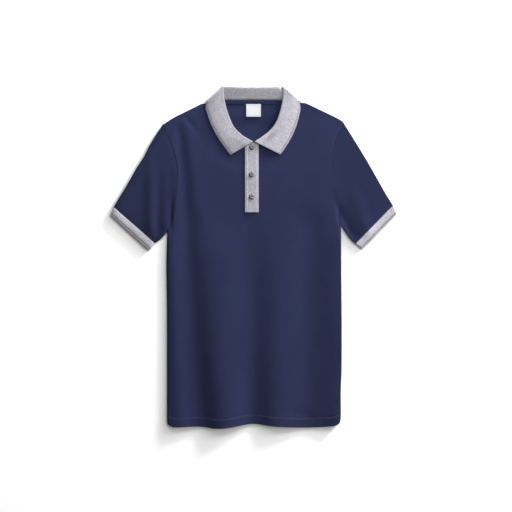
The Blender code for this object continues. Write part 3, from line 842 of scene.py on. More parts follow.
@dataclass(frozen=True)
class PiqueKnit:
    """Fine pique knit: small cells in offset rows, with a faint bloom and slightly uneven dye."""

    name: str = "navy_pique_knit"
    lit: Colour = (0.0149, 0.0194, 0.0540)
    deep: Colour = (0.0122, 0.0158, 0.0440)
    cell: float = 0.0013
    depth: float = 0.00022
    loop_relief: float = 0.3
    fuzz_relief: float = 0.5
    fuzz_scale: float = 2600.0
    dye_scale: float = 55.0
    dye_stretch: tuple[float, float, float] = (1.0, 0.6, 1.0)
    cell_contrast: float = 0.30
    roughness: float = 0.92
    sheen: float = 0.02
    sheen_tint: Colour = (0.55, 0.62, 1.0)

    def material(self) -> Material:
        """Builds the material.

        Returns:
            The material.
        """
        tree = Tree(self.name)
        u, v = tree.cloth_uv()
        cells = tree.math("MULTIPLY", tree.wave(u, self.cell * 2.0), tree.wave(v, self.cell * 1.6))
        loops = tree.math("MULTIPLY", tree.wave(v, self.cell * 0.8), self.loop_relief)
        fuzz = tree.math("MULTIPLY", tree.noise(self.fuzz_scale, 3.0), self.fuzz_relief)
        height = tree.math("ADD", tree.math("ADD", cells, loops), fuzz)
        dye = tree.noise(self.dye_scale, 4.0, self.dye_stretch)
        share = tree.math("MULTIPLY_ADD", cells, self.cell_contrast, dye)
        tree.plug(tree.shader.inputs["Base Color"], tree.blend(share, self.deep, self.lit))
        tree.relief(height, self.depth)
        tree.set(roughness=self.roughness, sheen_weight=self.sheen, sheen_roughness=0.55)
        tree.set(sheen_tint=(*self.sheen_tint, 1.0), specular_ior_level=0.08)
        return tree.material


@dataclass(frozen=True)
class MelangeRib:
    """Flat-knit rib of mixed pale and dark grey fibres.

    It is darker in the welt along its open edge, has a dark line where the welt begins, and
    carries painted shade where its mesh's painted-shade values are high. The flecks and clouds are
    noise: their contrasts spread it about a middle, which offset sets.
    """

    name: str = "grey_melange_rib_knit"
    pale: Colour = (0.385, 0.376, 0.418)
    dark: Colour = (0.205, 0.198, 0.228)
    welt_pale: Colour = (0.300, 0.287, 0.315)
    welt_dark: Colour = (0.160, 0.150, 0.170)
    line: Colour = (0.085, 0.078, 0.092)
    line_width: float = 0.0012
    # painted shade: the dark colour laid over the rib where the mesh's painted-shade values are high
    painted_shade: Colour = (0.130, 0.125, 0.145)
    painted_shade_strength: float = 0.55
    rib: float = 0.0017
    depth: float = 0.00028
    course_relief: float = 0.35
    fuzz_relief: float = 0.7
    fuzz_scale: float = 2400.0
    fleck_scale: float = 640.0
    fleck_stretch: tuple[float, float, float] = (1.0, 0.45, 1.0)
    fleck_contrast: float = 2.4
    cloud_scale: float = 150.0
    cloud_stretch: tuple[float, float, float] = (1.0, 0.6, 1.0)
    cloud_contrast: float = 0.9
    rib_contrast: float = 0.08
    offset: float = -1.12
    roughness: float = 0.9
    sheen: float = 0.03
    welt: float = 0.0

    def material(self) -> Material:
        """Builds the material. The cloth's second coordinate is 0 on the open edge.

        Returns:
            The material.
        """
        tree = Tree(self.name)
        u, v = tree.cloth_uv()
        ribs = tree.wave(u, self.rib)
        courses = tree.math("MULTIPLY", tree.wave(v, self.rib * 0.75), self.course_relief)
        fuzz = tree.math("MULTIPLY", tree.noise(self.fuzz_scale, 3.0), self.fuzz_relief)
        height = tree.math("ADD", tree.math("ADD", ribs, courses), fuzz)
        colour, share = self._melange(tree, ribs)
        if self.welt:
            inside = tree.math("LESS_THAN", v, self.welt)
            colour = tree.blend(inside, colour, tree.blend(share, self.welt_dark, self.welt_pale))
            line = tree.math("COMPARE", v, self.welt, self.line_width / 2.0)
            colour = tree.blend(line, colour, self.line)
            # painted shade: darkens the rib by the mesh's painted-shade values
            fold = tree.add("Attribute", attribute_name=PAINTED_SHADE_LAYER)
            painted_shade = tree.math("MULTIPLY", fold.outputs["Fac"], self.painted_shade_strength)
            colour = tree.blend(painted_shade, colour, self.painted_shade)
        tree.plug(tree.shader.inputs["Base Color"], colour)
        tree.relief(height, self.depth)
        tree.set(roughness=self.roughness, sheen_weight=self.sheen, sheen_roughness=0.5)
        tree.set(specular_ior_level=0.25)
        return tree.material

    def _melange(self, tree: Tree, ribs: NodeSocket) -> tuple[NodeSocket, NodeSocket]:
        """Mixes the fibres.

        Args:
            tree: the material's nodes.
            ribs: the ribs, from -1 to 1.

        Returns:
            The mixed colour, and the share of pale fibre in it.
        """
        flecks = tree.noise(self.fleck_scale, 4.0, self.fleck_stretch)
        clouds = tree.noise(self.cloud_scale, 3.0, self.cloud_stretch)
        middle = tree.math("MULTIPLY_ADD", clouds, self.cloud_contrast, self.offset)
        share = tree.math("MULTIPLY_ADD", flecks, self.fleck_contrast, middle)
        share = tree.math("MULTIPLY_ADD", ribs, self.rib_contrast, share)
        share = tree.math("MAXIMUM", tree.math("MINIMUM", share, 1.0), 0.0)
        return tree.blend(share, self.dark, self.pale), share


@dataclass(frozen=True)
class HerringboneTape:
    """Narrow woven tape with a herringbone."""

    name: str = "navy_herringbone_tape"
    lit: Colour = (0.0140, 0.0175, 0.0470)
    deep: Colour = (0.0100, 0.0125, 0.0350)
    pitch: float = 0.0016
    chevron: float = 0.0072
    depth: float = 0.0001
    contrast: float = 0.4
    roughness: float = 0.8

    def material(self) -> Material:
        """Builds the material.

        Returns:
            The material.
        """
        tree = Tree(self.name)
        u, v = tree.cloth_uv()
        zigzag = tree.math("PINGPONG", v, self.chevron / 2.0)
        slant = tree.math("MULTIPLY", zigzag, math.tau / self.pitch)
        twill = tree.wave(u, self.pitch, slant)
        share = tree.math("MULTIPLY_ADD", twill, self.contrast, 0.5)
        tree.plug(tree.shader.inputs["Base Color"], tree.blend(share, self.deep, self.lit))
        tree.relief(twill, self.depth)
        tree.set(roughness=self.roughness, specular_ior_level=0.05)
        return tree.material


@dataclass(frozen=True)
class WovenLabel:
    """Plain woven satin label with a thin woven frame and no words."""

    name: str = "white_woven_label"
    ground: Colour = (0.470, 0.478, 0.485)
    frame: Colour = (0.330, 0.365, 0.420)
    half: tuple[float, float] = (0.01565, 0.01355)
    inset: float = 0.0026
    line: float = 0.0008
    thread: float = 0.0005
    depth: float = 0.00005
    roughness: float = 0.55
    sheen: float = 0.2

    def material(self) -> Material:
        """Builds the material. The cloth's coordinates are 0 in the label's middle.

        Returns:
            The material.
        """
        tree = Tree(self.name)
        u, v = tree.cloth_uv()
        deep = tree.math("SUBTRACT", self.half[0], tree.math("ABSOLUTE", u))
        high = tree.math("SUBTRACT", self.half[1], tree.math("ABSOLUTE", v))
        rim = tree.math("MINIMUM", deep, high)
        outer = tree.math("GREATER_THAN", rim, self.inset)
        inner = tree.math("GREATER_THAN", rim, self.inset + self.line)
        frame = tree.math("SUBTRACT", outer, inner)
        weave = tree.math("MULTIPLY", tree.wave(u, self.thread), tree.wave(v, self.thread))
        tree.plug(tree.shader.inputs["Base Color"], tree.blend(frame, self.ground, self.frame))
        tree.relief(weave, self.depth)
        tree.set(roughness=self.roughness, sheen_weight=self.sheen, specular_ior_level=0.4)
        return tree.material


@dataclass(frozen=True)
class PolishedButton:
    """Cast polyester with a soft gloss, dark streaks and a pale rim, with painted shade: a dark dish and a
    dark outer edge.

    The radii are in millimetres, as the mesh carries them.
    """

    name: str = "grey_polyester"
    # painted shade: the dish is coloured dark to stand for the shade inside it
    shaded_dish: Colour = (0.080, 0.070, 0.082)
    rim: Colour = (0.380, 0.360, 0.400)
    # painted shade: the outer edge is coloured dark to stand for its shaded side
    edge: Colour = (0.040, 0.031, 0.036)
    streak: Colour = (0.060, 0.050, 0.060)
    streak_share: float = 0.3
    streak_scale: float = 260.0
    streak_distortion: float = 1.6
    shaded_dish_radius: float = 2.4
    shaded_edge_radius: float = 4.0
    roughness: float = 0.45
    coat: float = 0.1

    def material(self) -> Material:
        """Builds the material.

        Returns:
            The material.
        """
        tree = Tree(self.name)
        radius = tree.add("Attribute", attribute_name=RADIUS_LAYER).outputs["Fac"]
        # painted shade in the dish and on the outer edge, chosen by distance from the axis
        inner = tree.blend(tree.math("GREATER_THAN", radius, self.shaded_dish_radius), self.shaded_dish, self.rim)
        colour = tree.blend(tree.math("GREATER_THAN", radius, self.shaded_edge_radius), inner, self.edge)
        streaks = tree.add("TexNoise")
        tree.plug(streaks.inputs["Vector"], tree.add("TexCoord").outputs["Object"])
        tree.plug(streaks.inputs["Scale"], self.streak_scale)
        tree.plug(streaks.inputs["Detail"], 3.0)
        tree.plug(streaks.inputs["Distortion"], self.streak_distortion)
        share = tree.math("MULTIPLY", streaks.outputs[0], self.streak_share)
        tree.plug(tree.shader.inputs["Base Color"], tree.blend(share, colour, self.streak))
        tree.set(roughness=self.roughness, coat_weight=self.coat, coat_roughness=0.3)
        tree.set(specular_ior_level=0.2)
        return tree.material


@dataclass(frozen=True)
class SewingThread:
    """Spun polyester sewing thread with the twist of its plies."""

    name: str
    lit: Colour
    deep: Colour
    twist_scale: float = 420.0
    roughness: float = 0.6
    sheen: float = 0.2

    def material(self) -> Material:
        """Builds the material.

        Returns:
            The material.
        """
        tree = Tree(self.name)
        twist = tree.add("TexWave", bands_direction="DIAGONAL")
        tree.plug(twist.inputs["Vector"], tree.add("TexCoord").outputs["Object"])
        tree.plug(twist.inputs["Scale"], self.twist_scale)
        tree.plug(tree.shader.inputs["Base Color"], tree.blend(twist.outputs[1], self.deep, self.lit))
        tree.set(roughness=self.roughness, sheen_weight=self.sheen)
        return tree.material


NAVY_THREAD = SewingThread("navy_sewing_thread", (0.0205, 0.0260, 0.0690), (0.0140, 0.0180, 0.0490))
GREY_THREAD = SewingThread("grey_sewing_thread", (0.62, 0.61, 0.66), (0.42, 0.41, 0.45))
# dark thread, also used as the painted shade inside the buttonholes' slits
DARK_THREAD_AND_SLIT_SHADE = SewingThread("dark_thread_and_slit_shade", (0.050, 0.043, 0.052), (0.020, 0.017, 0.022))


def surface(name: str, points: np.ndarray, cloth: np.ndarray, closed: bool = False) -> Object:
    """A sheet of quads through a grid of points.

    Args:
        name: name of the object.
        points: rows x columns x 3 positions in millimetres.
        cloth: rows x columns x 2 cloth coordinates in millimetres, with one more column on a tube.
        closed: whether the last column joins the first, as on a tube.

    Returns:
        The new object, in the scene.
    """
    rows, columns = points.shape[:2]
    index = np.arange(rows * columns).reshape(rows, columns)
    spots = np.arange(cloth.shape[0] * cloth.shape[1]).reshape(cloth.shape[:2])
    if closed:
        index = np.concatenate([index, index[:, :1]], axis=1)
    corners, places = (
        np.stack([k[:-1, :-1], k[:-1, 1:], k[1:, 1:], k[1:, :-1]], axis=-1) for k in (index, spots)
    )
    mesh = bpy.data.meshes.new(name)
    mesh.from_pydata((points.reshape(-1, 3) * MM).tolist(), [], corners.reshape(-1, 4).tolist())
    layer = mesh.uv_layers.new(name="cloth")
    layer.data.foreach_set("uv", (cloth.reshape(-1, 2)[places.reshape(-1)] * MM).reshape(-1))
    return in_scene(name, mesh)


def in_scene(name: str, mesh: Mesh) -> Object:
    """Puts a mesh in the scene, smooth shaded.

    Args:
        name: name of its object.
        mesh: the mesh.

    Returns:
        The object.
    """
    mesh.shade_smooth()
    thing = bpy.data.objects.new(name, mesh)
    bpy.context.scene.collection.objects.link(thing)
    return thing


def wall(thing: Object, thickness: float, offset: float) -> None:
    """Gives a sheet a wall.

    Args:
        thing: the sheet.
        thickness: of the wall.
        offset: -1 for a wall that goes in from the sheet's face, 1 for out and 0 for both ways.
    """
    solidify = thing.modifiers.new("Wall", "SOLIDIFY")
    solidify.thickness = thickness * MM
    solidify.offset = offset


def dressed(thing: Object, material: Material, slot: Slot, *nodes: str) -> Object:
    """Gives a piece its finish and says what it rides on and stands for.

    Args:
        thing: the piece.
        material: its material.
        slot: the record's slot for that material; not used.
        nodes: CAD nodes that it replaces.

    Returns:
        The piece.
    """
    thing.data.materials.append(material)
    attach(thing, "root")
    if nodes:
        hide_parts(*nodes)
    return thing


def spread(total: float, step: float, ends: Sequence[float] = (0.0, 0.4, 0.9, 1.6, 2.5, 3.8)) -> np.ndarray:
    """Shares of a length, close together near both ends.

    Args:
        total: the length.
        step: largest distance between two shares.
        ends: distances from each end.

    Returns:
        The shares, from 0 to 1.
    """
    close = np.array(ends) / total
    count = max(2, round((total - 2.0 * ends[-1]) / step))
    middle = np.linspace(close[-1], 1.0 - close[-1], count + 1)[1:-1]
    return np.concatenate([close, middle, (1.0 - close)[::-1]])


@dataclass(frozen=True)
class Stitches:
    """A row of sewn stitches that lie on a surface.

    The rings of one stitch are shares of its length, each with its share of the full thickness.
    """

    length: float = 2.4
    gap: float = 0.5
    width: float = 0.42
    height: float = 0.32
    rings: tuple[tuple[float, float], ...] = ((0.0, 0.25), (0.22, 0.9), (0.5, 1.0), (0.78, 0.9), (1.0, 0.25))
    sides: int = 6

    def row(self, name: str, line: Line, height: Field, thread: Material, slot: Slot) -> Object:
        """Sews along a line.

        Args:
            name: name of the piece.
            line: where the row runs, in plan.
            height: height of the surface under the stitches.
            thread: their material.
            slot: the record's slot of the cloth that they hold.

        Returns:
            All stitches of the row as one piece.
        """
        count = max(1, int(line.length // (self.length + self.gap)))
        starts = (np.arange(count) + 0.5) / count - 0.5 * self.length / line.length
        corners, faces = [], []
        for start in starts:
            ends = line.along([start, start + self.length / line.length])[:, :2]
            self.stitch(ends, height, corners, faces)
        mesh = bpy.data.meshes.new(name)
        mesh.from_pydata((np.array(corners) * MM).tolist(), [], faces)
        return dressed(in_scene(name, mesh), thread, slot)

    def stitch(
        self, ends: np.ndarray, height: Field, corners: list[Corner], faces: list[tuple[int, ...]]
    ) -> None:
        """Adds one stitch.

        Args:
            ends: the two places in plan that it joins.
            height: height of the surface under it.
            corners: list that its corners are added to.
            faces: list that its faces are added to.
        """
        run = ends[1] - ends[0]
        across = np.array([-run[1], run[0]]) / max(float(np.hypot(*run)), 1e-9)
        levels = height(ends[:, 0], ends[:, 1])
        first = len(corners)
        for share, size in self.rings:
            plan = mix(ends[0], ends[1], share)
            level = float(mix(levels[0], levels[1], share)) + 0.5 * self.height * size
            for k in range(self.sides):
                angle = math.tau * k / self.sides
                aside = plan + across * (0.5 * self.width * size * math.cos(angle))
                corners.append((*aside, level + 0.5 * self.height * size * math.sin(angle)))
        last = len(self.rings) - 1
        for ring in range(last):
            for k in range(self.sides):
                a, b = first + ring * self.sides + k, first + ring * self.sides + (k + 1) % self.sides
                faces.append((a, a + self.sides, b + self.sides, b))
        faces.append(tuple(first + k for k in range(self.sides)))
        faces.append(tuple(first + last * self.sides + k for k in reversed(range(self.sides))))


STITCHES = Stitches()


@dataclass
class BodyPanel:
    """The front or the back panel: a grid from hem to shoulders and neck.

    Its rows are closest at both ends: hem_rows and top_rows hold their distances from the hem and
    from the upper edge.
    """

    layer: Layer
    node: str
    hem_rise: float = 0.0
    thickness: float = 1.5
    column_step: float = 3.2
    row_step: float = 3.6
    hem_rows: tuple[float, ...] = (0.0, 0.5, 1.2, 2.4, 5.0, 9.0, 13.0, 16.5, 18.2, 19.2, 20.0, 20.8, 22.0)
    top_rows: tuple[float, ...] = (0.0, 0.4, 0.9, 1.6, 2.6, 3.9)
    shoulder_guess: float = 300.0
    rounds: int = 12

    def top_line(self) -> Line:
        """The panel's upper edge.

        Returns:
            Shoulder, neck and shoulder, from the wearer's right.
        """
        right, left = RIGHT.shoulder.points, LEFT.shoulder.points[::-1]
        neck = front_neck() if self.layer is Layer.TOP else back_neck()
        return Line((*right, *neck.points, *left), 1)

    def grid(self) -> tuple[np.ndarray, np.ndarray]:
        """Plan positions of the grid.

        The upper end of a column leans with the armholes, so it is found in a few rounds.

        Returns:
            x and y, each rows x columns.
        """
        width = float(LEFT.edge_x(np.array(0.0)) - RIGHT.edge_x(np.array(0.0)))
        columns = spread(width, self.column_step)
        top = self.top_line()
        high = np.full(len(columns), self.shoulder_guess)
        for _ in range(self.rounds):
            x = mix(RIGHT.edge_x(high), LEFT.edge_x(high), columns)
            high = top.crossing(0, x)
        low_x = mix(RIGHT.side_seam.points[0, 0], LEFT.side_seam.points[0, 0], columns)
        low = HEM.crossing(0, low_x) + self.hem_rise
        length = float(np.mean(high - low))
        count = round((length - self.hem_rows[-1] - self.top_rows[-1]) / self.row_step)
        middle = np.linspace(0.0, 1.0, count + 1)[1:-1, None]
        first = low + np.array(self.hem_rows)[:, None]
        last = high - np.array(self.top_rows)[::-1, None]
        y = np.concatenate([first, mix(first[-1], last[0], middle), last])
        x = mix(RIGHT.edge_x(y), LEFT.edge_x(y), columns)
        return x, y

    def build(self, knit: Material) -> Object:
        """Builds and dresses the panel.

        Args:
            knit: its cloth.

        Returns:
            The panel.
        """
        x, y = self.grid()
        z = DRAPE.height(x, y, self.layer)
        shell = surface(f"{self.node}_panel", np.stack([x, y, z], -1), np.stack([x, y], -1))
        wall(shell, self.thickness, -self.layer.value)
        return dressed(shell, knit, Slot.BODY, self.node)


# The panels' neck edges: how far they lie below the stand's seam, where the back's straight part
# ends, and the first share and the number of points taken on each half of the front
BELOW_STAND = 0.5
BACK_NECK_ENDS = (-80.0, 78.0)
NECK_STARTS_AT = 0.93
NECK_POINTS = 15


def front_neck() -> Line:
    """The front's neck edge, just below the seam of the collar's stand.

    Returns:
        The edge, from the wearer's right.
    """
    points = []
    for side in SIDES:
        rulings = side.rulings.along(np.linspace(NECK_STARTS_AT, 0.0, NECK_POINTS))
        widths = np.hypot(rulings[:, 2] - rulings[:, 0], rulings[:, 3] - rulings[:, 1])
        share = (rulings[:, 4] + BELOW_STAND / widths)[:, None]
        half = [side.neck_point, *mix(rulings[:, :2], rulings[:, 2:4], share)]
        points += half if side.sign < 0 else half[::-1]
    return Line(points, 1)


def back_neck() -> Line:
    """The back's neck edge, straight across below the stand."""
    right, left = (Spot(x, Collar.neck_seam_y - BELOW_STAND) for x in BACK_NECK_ENDS)
    return Line((RIGHT.neck_point, right, left, LEFT.neck_point), 1)


@dataclass
class Sleeve:
    """A short sleeve as a flattened tube from the armhole to the cuff's seam."""

    side: Side
    thickness: float = BodyPanel.thickness
    gap: float = 0.3
    ring_step: float = 4.0
    ring_ends: tuple[float, ...] = (0.0, 0.6, 1.4, 2.6)
    step: float = 3.2
    cap: float = 60.0

    @property
    def length(self) -> float:
        """Length of the cloth from the top of its cap to the cuff."""
        return 0.5 * (self.side.upper_fold.length + self.side.lower_fold.length) + self.cap

    @property
    def width(self) -> float:
        """Mean width of one layer."""
        return 0.5 * (self.side.armhole.length + self.side.cuff_seam.length)

    def build(self, knit: Material) -> Object:
        """Builds and dresses the sleeve.

        Its plan is a Coons patch between its four edges.

        Args:
            knit: its cloth.

        Returns:
            The sleeve.
        """
        side = self.side
        rings = spread(self.length, self.ring_step, self.ring_ends)
        around = spread(self.width, self.step)
        s, t = rings[:, None, None], around[None, :, None]
        off_body = side.sign * self.gap * np.sin(math.pi * around)
        start = side.armhole.along(around) + off_body[:, None] * (1, 0)
        end = side.cuff_seam.along(around)
        across = mix(start[None], end[None], s)
        down = mix(side.upper_fold.along(rings)[:, None], side.lower_fold.along(rings)[:, None], t)
        corners = mix(mix(start[0], end[0], s), mix(start[-1], end[-1], s), t)
        cloth = around * self.width, rings * self.length
        name = f"sleeve_{side.word}"
        thing = tube(f"{name}_shell", side, across + down - corners, cloth, self.thickness)
        return dressed(thing, knit, Slot.BODY, name)


def tube(
    name: str, side: Side, plan: np.ndarray, cloth: tuple[np.ndarray, np.ndarray], thickness: float,
    relief: np.ndarray | None = None,
) -> Object:
    """A flattened tube whose top and under layer share their plan.

    Args:
        name: name of the piece.
        side: the shirt's side, which settles the way that the faces look.
        plan: rings x points x 2 places, from the upper fold to the lower one.
        cloth: cloth coordinates of the points and of the rings.
        thickness: the wall.
        relief: height added on each ring.

    Returns:
        The tube, with its wall.
    """
    x, y = plan[..., 0], plan[..., 1]
    top, under = DRAPE.height(x, y, Layer.TOP), DRAPE.height(x, y, Layer.UNDER)
    if relief is not None:
        settled = ease(DRAPE.from_edge(x, y), 0.0, DRAPE.relief_margin)
        top = top + relief[:, None] * settled
    top[:, [0, -1]] = under[:, [0, -1]]
    points = np.concatenate([np.stack([x, y, top], -1), np.stack([x, y, under], -1)[:, -2:0:-1]], axis=1)
    u = np.concatenate([cloth[0], 2.0 * cloth[0][-1] - cloth[0][::-1][1:]])
    flat = np.stack(np.broadcast_arrays(u[None, :], cloth[1][:, None]), -1)
    if side is RIGHT:
        points, flat = points[::-1], flat[::-1]
    thing = surface(name, points, flat, closed=True)
    wall(thing, thickness, -1.0)
    return thing


@dataclass
class Cuff:
    """A flat-knit rib cuff as a flattened tube, with a welt along its open edge.

    The rows are distances from the seam along a cuff as deep as the last one.
    """

    side: Side
    thickness: float = 1.9
    gap: float = 0.3
    welt: float = 4.6
    groove: float = 0.5
    groove_width: float = 0.8
    lip: float = 0.5
    crown: float = 0.2
    step: float = 2.4
    rows: tuple[float, ...] = (
        0.0, 0.4, 1.0, 2.0, 3.5, 6.0, 9.0, 11.5, 12.6, 13.2, 13.8, 14.6, 16.0, 17.2, 18.2,
    )

    def build(self, rib: Material) -> Object:
        """Builds and dresses the cuff.

        Args:
            rib: its cloth.

        Returns:
            The cuff.
        """
        side = self.side
        length = float(side.upper_cuff.length + side.lower_cuff.length) / 2.0
        down = np.array(self.rows) / self.rows[-1] * length
        share = (self.gap + down * (1.0 - self.gap / length)) / length
        around = spread(side.cuff_edge.length, self.step)
        start, end = side.cuff_seam.along(around), side.cuff_edge.along(around)
        plan = mix(start[None], end[None], share[:, None, None])
        from_edge = length - down
        groove = self.groove * bell(from_edge - self.welt, self.groove_width)
        lip = self.lip * ease(from_edge, self.welt, 0.0)
        crown = self.crown * np.sin(math.pi * np.clip(down / (length - self.welt), 0.0, 1.0))
        relief = crown - groove - lip
        cloth = around * side.cuff_edge.length, from_edge
        name = f"cuff_{side.word}"
        thing = tube(f"{name}_band", side, plan, cloth, self.thickness, relief)
        return dressed(thing, rib, Slot.RIB, name)


class Section(NamedTuple):
    """One section of the collar, across its stand and fall.

    Both turn about an axis through the roll: facing is the direction from stand to fall, and the
    radii are their distances from the axis. The axis is raised by lift towards the neck's back.
    """

    ruling: Ruling
    facing: np.ndarray
    stand_radius: float
    fall_radius: float
    lift: float = 0.0

    @property
    def upward(self) -> float:
        """How far the fall faces up, from 0 to 1."""
        return max(float(self.facing[2]), 0.0)


@dataclass
class Collar:
    """The flat-knit collar: stand, roll and fall in one strip, laid round the neck.

    The fall lies highest at its front ends, over the placket, and lowest at the shoulders' creases.
    It comes down to the settled level between the two distances from the roll in settles. Its
    painted shade begins and is full at shade_rows, in points past the roll's ends.
    """

    thickness: float = 2.0 * CollarCrease.half_wall
    axis_level: float = 4.25
    stand_radius: float = 1.55
    fall_at_crease: float = CollarCrease.fall_radius
    fall_at_chest: float = 4.35
    fall_at_end: float = 5.6
    end_lies_until: float = 0.3
    settled: float = 4.35
    settles: tuple[float, float] = (14.0, 25.0)
    crease_starts_at: float = 0.55
    front_sections: int = 56
    back_sections: int = 48
    crease_sections: int = 18
    stand_steps: int = 6
    roll_steps: int = 10
    welt: float = 5.0
    groove: float = 0.4
    groove_width: float = 0.6
    lip: float = 0.7
    crown: float = 0.7
    waviness: float = 0.22
    wave_length: float = 21.0
    wave_squeeze: float = 1.3
    fall_rows: tuple[float, ...] = (0.0, 0.4, 1.0, 2.0, 3.4, 4.2, 4.6, 5.0, 5.4, 5.8, 6.8, 9.0)
    fall_steps: int = 12
    back_roll_dip: float = 0.9
    back_fall_dip: float = 3.5
    back_lift: float = 5.0
    back_lift_y: tuple[float, float] = (336.0, 367.0)
    back_lift_right: tuple[float, float] = (0.015, 0.09)
    back_lift_left: tuple[float, float] = (0.985, 0.93)
    measured_at: float = 0.3
    # painted shade on the roll and in a patch near the left end
    shade_rows: tuple[float, float] = (1.5, -1.0)
    left_shade: float = 0.25
    end_shade: float = 1.3
    end_shade_at: float = 0.22
    end_shade_length: float = 0.13
    end_shade_row: float = 3.0
    end_shade_width: float = 1.8
    neck_seam_y: ClassVar[float] = 338.6

    def sections(self) -> list[Section]:
        """Lays out the sections.

        Returns:
            All of them, from the wearer's right end round the neck to the left end.
        """
        back = [self._back_section(k / self.back_sections) for k in range(self.back_sections + 1)]
        right = self._front(RIGHT) + self._crease(RIGHT)
        return right + back + self._crease(LEFT)[::-1] + self._front(LEFT)[::-1]

    def _front(self, side: Side) -> list[Section]:
        """The sections of one front half.

        Args:
            side: the shirt's side.

        Returns:
            The sections, from the end to the shoulder.
        """
        up = np.array([0.0, 0.0, 1.0])
        shares = np.linspace(0.0, 1.0, self.front_sections + 1)
        rulings = [Ruling(*side.rulings.along(share)) for share in shares]
        falls = [self._fall(share) for share in shares]
        return [Section(ruling, up, self.stand_radius, fall) for ruling, fall in zip(rulings, falls)]

    def _crease(self, side: Side) -> list[Section]:
        """The sections that turn over at one shoulder, on one ruling.

        Args:
            side: the shirt's side.

        Returns:
            The sections, from the one that faces almost up to the one that faces almost down.
        """
        made = []
        for k in range(1, self.crease_sections):
            angle = math.pi * (0.5 - k / self.crease_sections)
            facing = np.array([*(math.cos(angle) * side.crease.out), math.sin(angle)])
            made.append(Section(side.crease.ruling(), facing, self.stand_radius, self.fall_at_crease))
        return made

    def _back_section(self, share: float) -> Section:
        """A section of the back half.

        Args:
            share: how far it is from the wearer's right crease to the left one.

        Returns:
            The section, which faces down.
        """
        right, left = RIGHT.crease.ruling(), LEFT.crease.ruling()
        middle = 4.0 * share * (1.0 - share)
        roll_x, roll_y, edge_x, edge_y = (mix(a, b, share) for a, b in zip(right[:4], left[:4]))
        roll_y -= self.back_roll_dip * middle
        edge_y -= self.back_fall_dip * middle
        ruling = Ruling(roll_x, roll_y, edge_x, edge_y, (roll_y - self.neck_seam_y) / (roll_y - edge_y))
        lift = self.back_lift * float(ease(share, *self.back_lift_right) * ease(share, *self.back_lift_left))
        down = np.array([0.0, 0.0, -1.0])
        return Section(ruling, down, self.stand_radius, self.fall_at_crease, lift)

    def _fall(self, share: float) -> float:
        """How far the fall lies from the axis at a share of the front half."""
        fall = mix(self.fall_at_end, self.fall_at_chest, float(ease(share, 0.0, self.end_lies_until)))
        return float(mix(fall, self.fall_at_crease, float(ease(share, self.crease_starts_at, 1.0))))

    def section_points(self, section: Section, along: float) -> tuple[np.ndarray, np.ndarray]:
        """The middle surface of one section, up the stand, over the roll and down the fall.

        Args:
            section: the section.
            along: how far round the collar it is, which sets its slight waviness.

        Returns:
            Points x 3 positions, and their distances from the outer edge along the cloth.
        """
        ruling = section.ruling
        roll, edge = np.array(ruling[:2]), np.array(ruling[2:4])
        width = float(np.hypot(*(edge - roll)))
        radius = (section.fall_radius - section.stand_radius) / 2.0
        turn = self.thickness / 2.0 + radius
        stand = np.linspace(ruling.stand * width, turn, self.stand_steps, endpoint=False)
        angles = math.pi * np.arange(self.roll_steps + 1) / self.roll_steps
        over = turn - radius * np.sin(angles)
        close = width - np.array(self.fall_rows[::-1])
        fall = np.concatenate([np.linspace(turn, close[0], self.fall_steps + 1)[1:-1], close])
        down = np.concatenate([stand, over, fall])
        relief = self._relief(width - fall, width, along) * section.upward
        relief = relief - max(section.fall_radius - self.settled, 0.0) * ease(fall, *self.settles)
        at_stand = np.full(len(stand), section.stand_radius)
        at_roll = section.stand_radius + radius * (1.0 - np.cos(angles))
        off = np.concatenate([at_stand, at_roll, section.fall_radius + relief])
        plan = mix(roll[None], edge[None], (down / width)[:, None])
        level = self.axis_level + section.lift * ease(plan[:, 1], *self.back_lift_y)
        points = np.concatenate([plan, level[:, None]], axis=1)
        lengths = np.hypot(np.diff(down), np.diff(off))
        cloth = np.concatenate([[0.0], np.cumsum(lengths)])
        return points + off[:, None] * section.facing, cloth[-1] - cloth

    def _relief(self, from_edge: np.ndarray, width: float, along: float) -> np.ndarray:
        """Relief of the fall: a low crown, the welt's groove, its thinner lip and a slight waviness.

        Args:
            from_edge: distances from the outer edge.
            width: width of the collar here.
            along: how far round the collar it is.

        Returns:
            Heights above the plain fall.
        """
        share = np.clip(from_edge / width, 0.0, 1.0)
        crown = self.crown * np.sin(math.pi * share) ** 2
        groove = self.groove * bell(from_edge - self.welt, self.groove_width)
        lip = self.lip * ease(from_edge, self.welt, 0.0)
        crest = self.waviness * math.sin(along / self.wave_length)
        return crown - groove - lip + crest * np.sin(math.pi * np.minimum(share * self.wave_squeeze, 1.0))

    def build(self, rib: Material) -> Object:
        """Builds and dresses the collar.

        Args:
            rib: its cloth.

        Returns:
            The collar.
        """
        points, cloth = [], []
        along, before = 0.0, None
        sections = self.sections()
        for section in sections:
            ruling = section.ruling
            middle = np.array([mix(ruling[k], ruling[k + 2], self.measured_at) for k in (0, 1)])
            along += 0.0 if before is None else float(np.hypot(*(middle - before)))
            before = middle
            line, from_edge = self.section_points(section, along)
            points.append(line)
            cloth.append(np.stack([np.full(len(line), along), from_edge], -1))
        thing = surface("collar_rib", np.array(points), np.array(cloth))
        # painted shade: values that darken the collar's roll and a patch beside it through its material
        layer = thing.data.attributes.new(PAINTED_SHADE_LAYER, "FLOAT", "POINT")
        layer.data.foreach_set("value", self._painted_shade_values(sections, len(points[0])).reshape(-1))
        wall(thing, self.thickness, 0.0)
        return dressed(thing, rib, Slot.RIB, "collar")

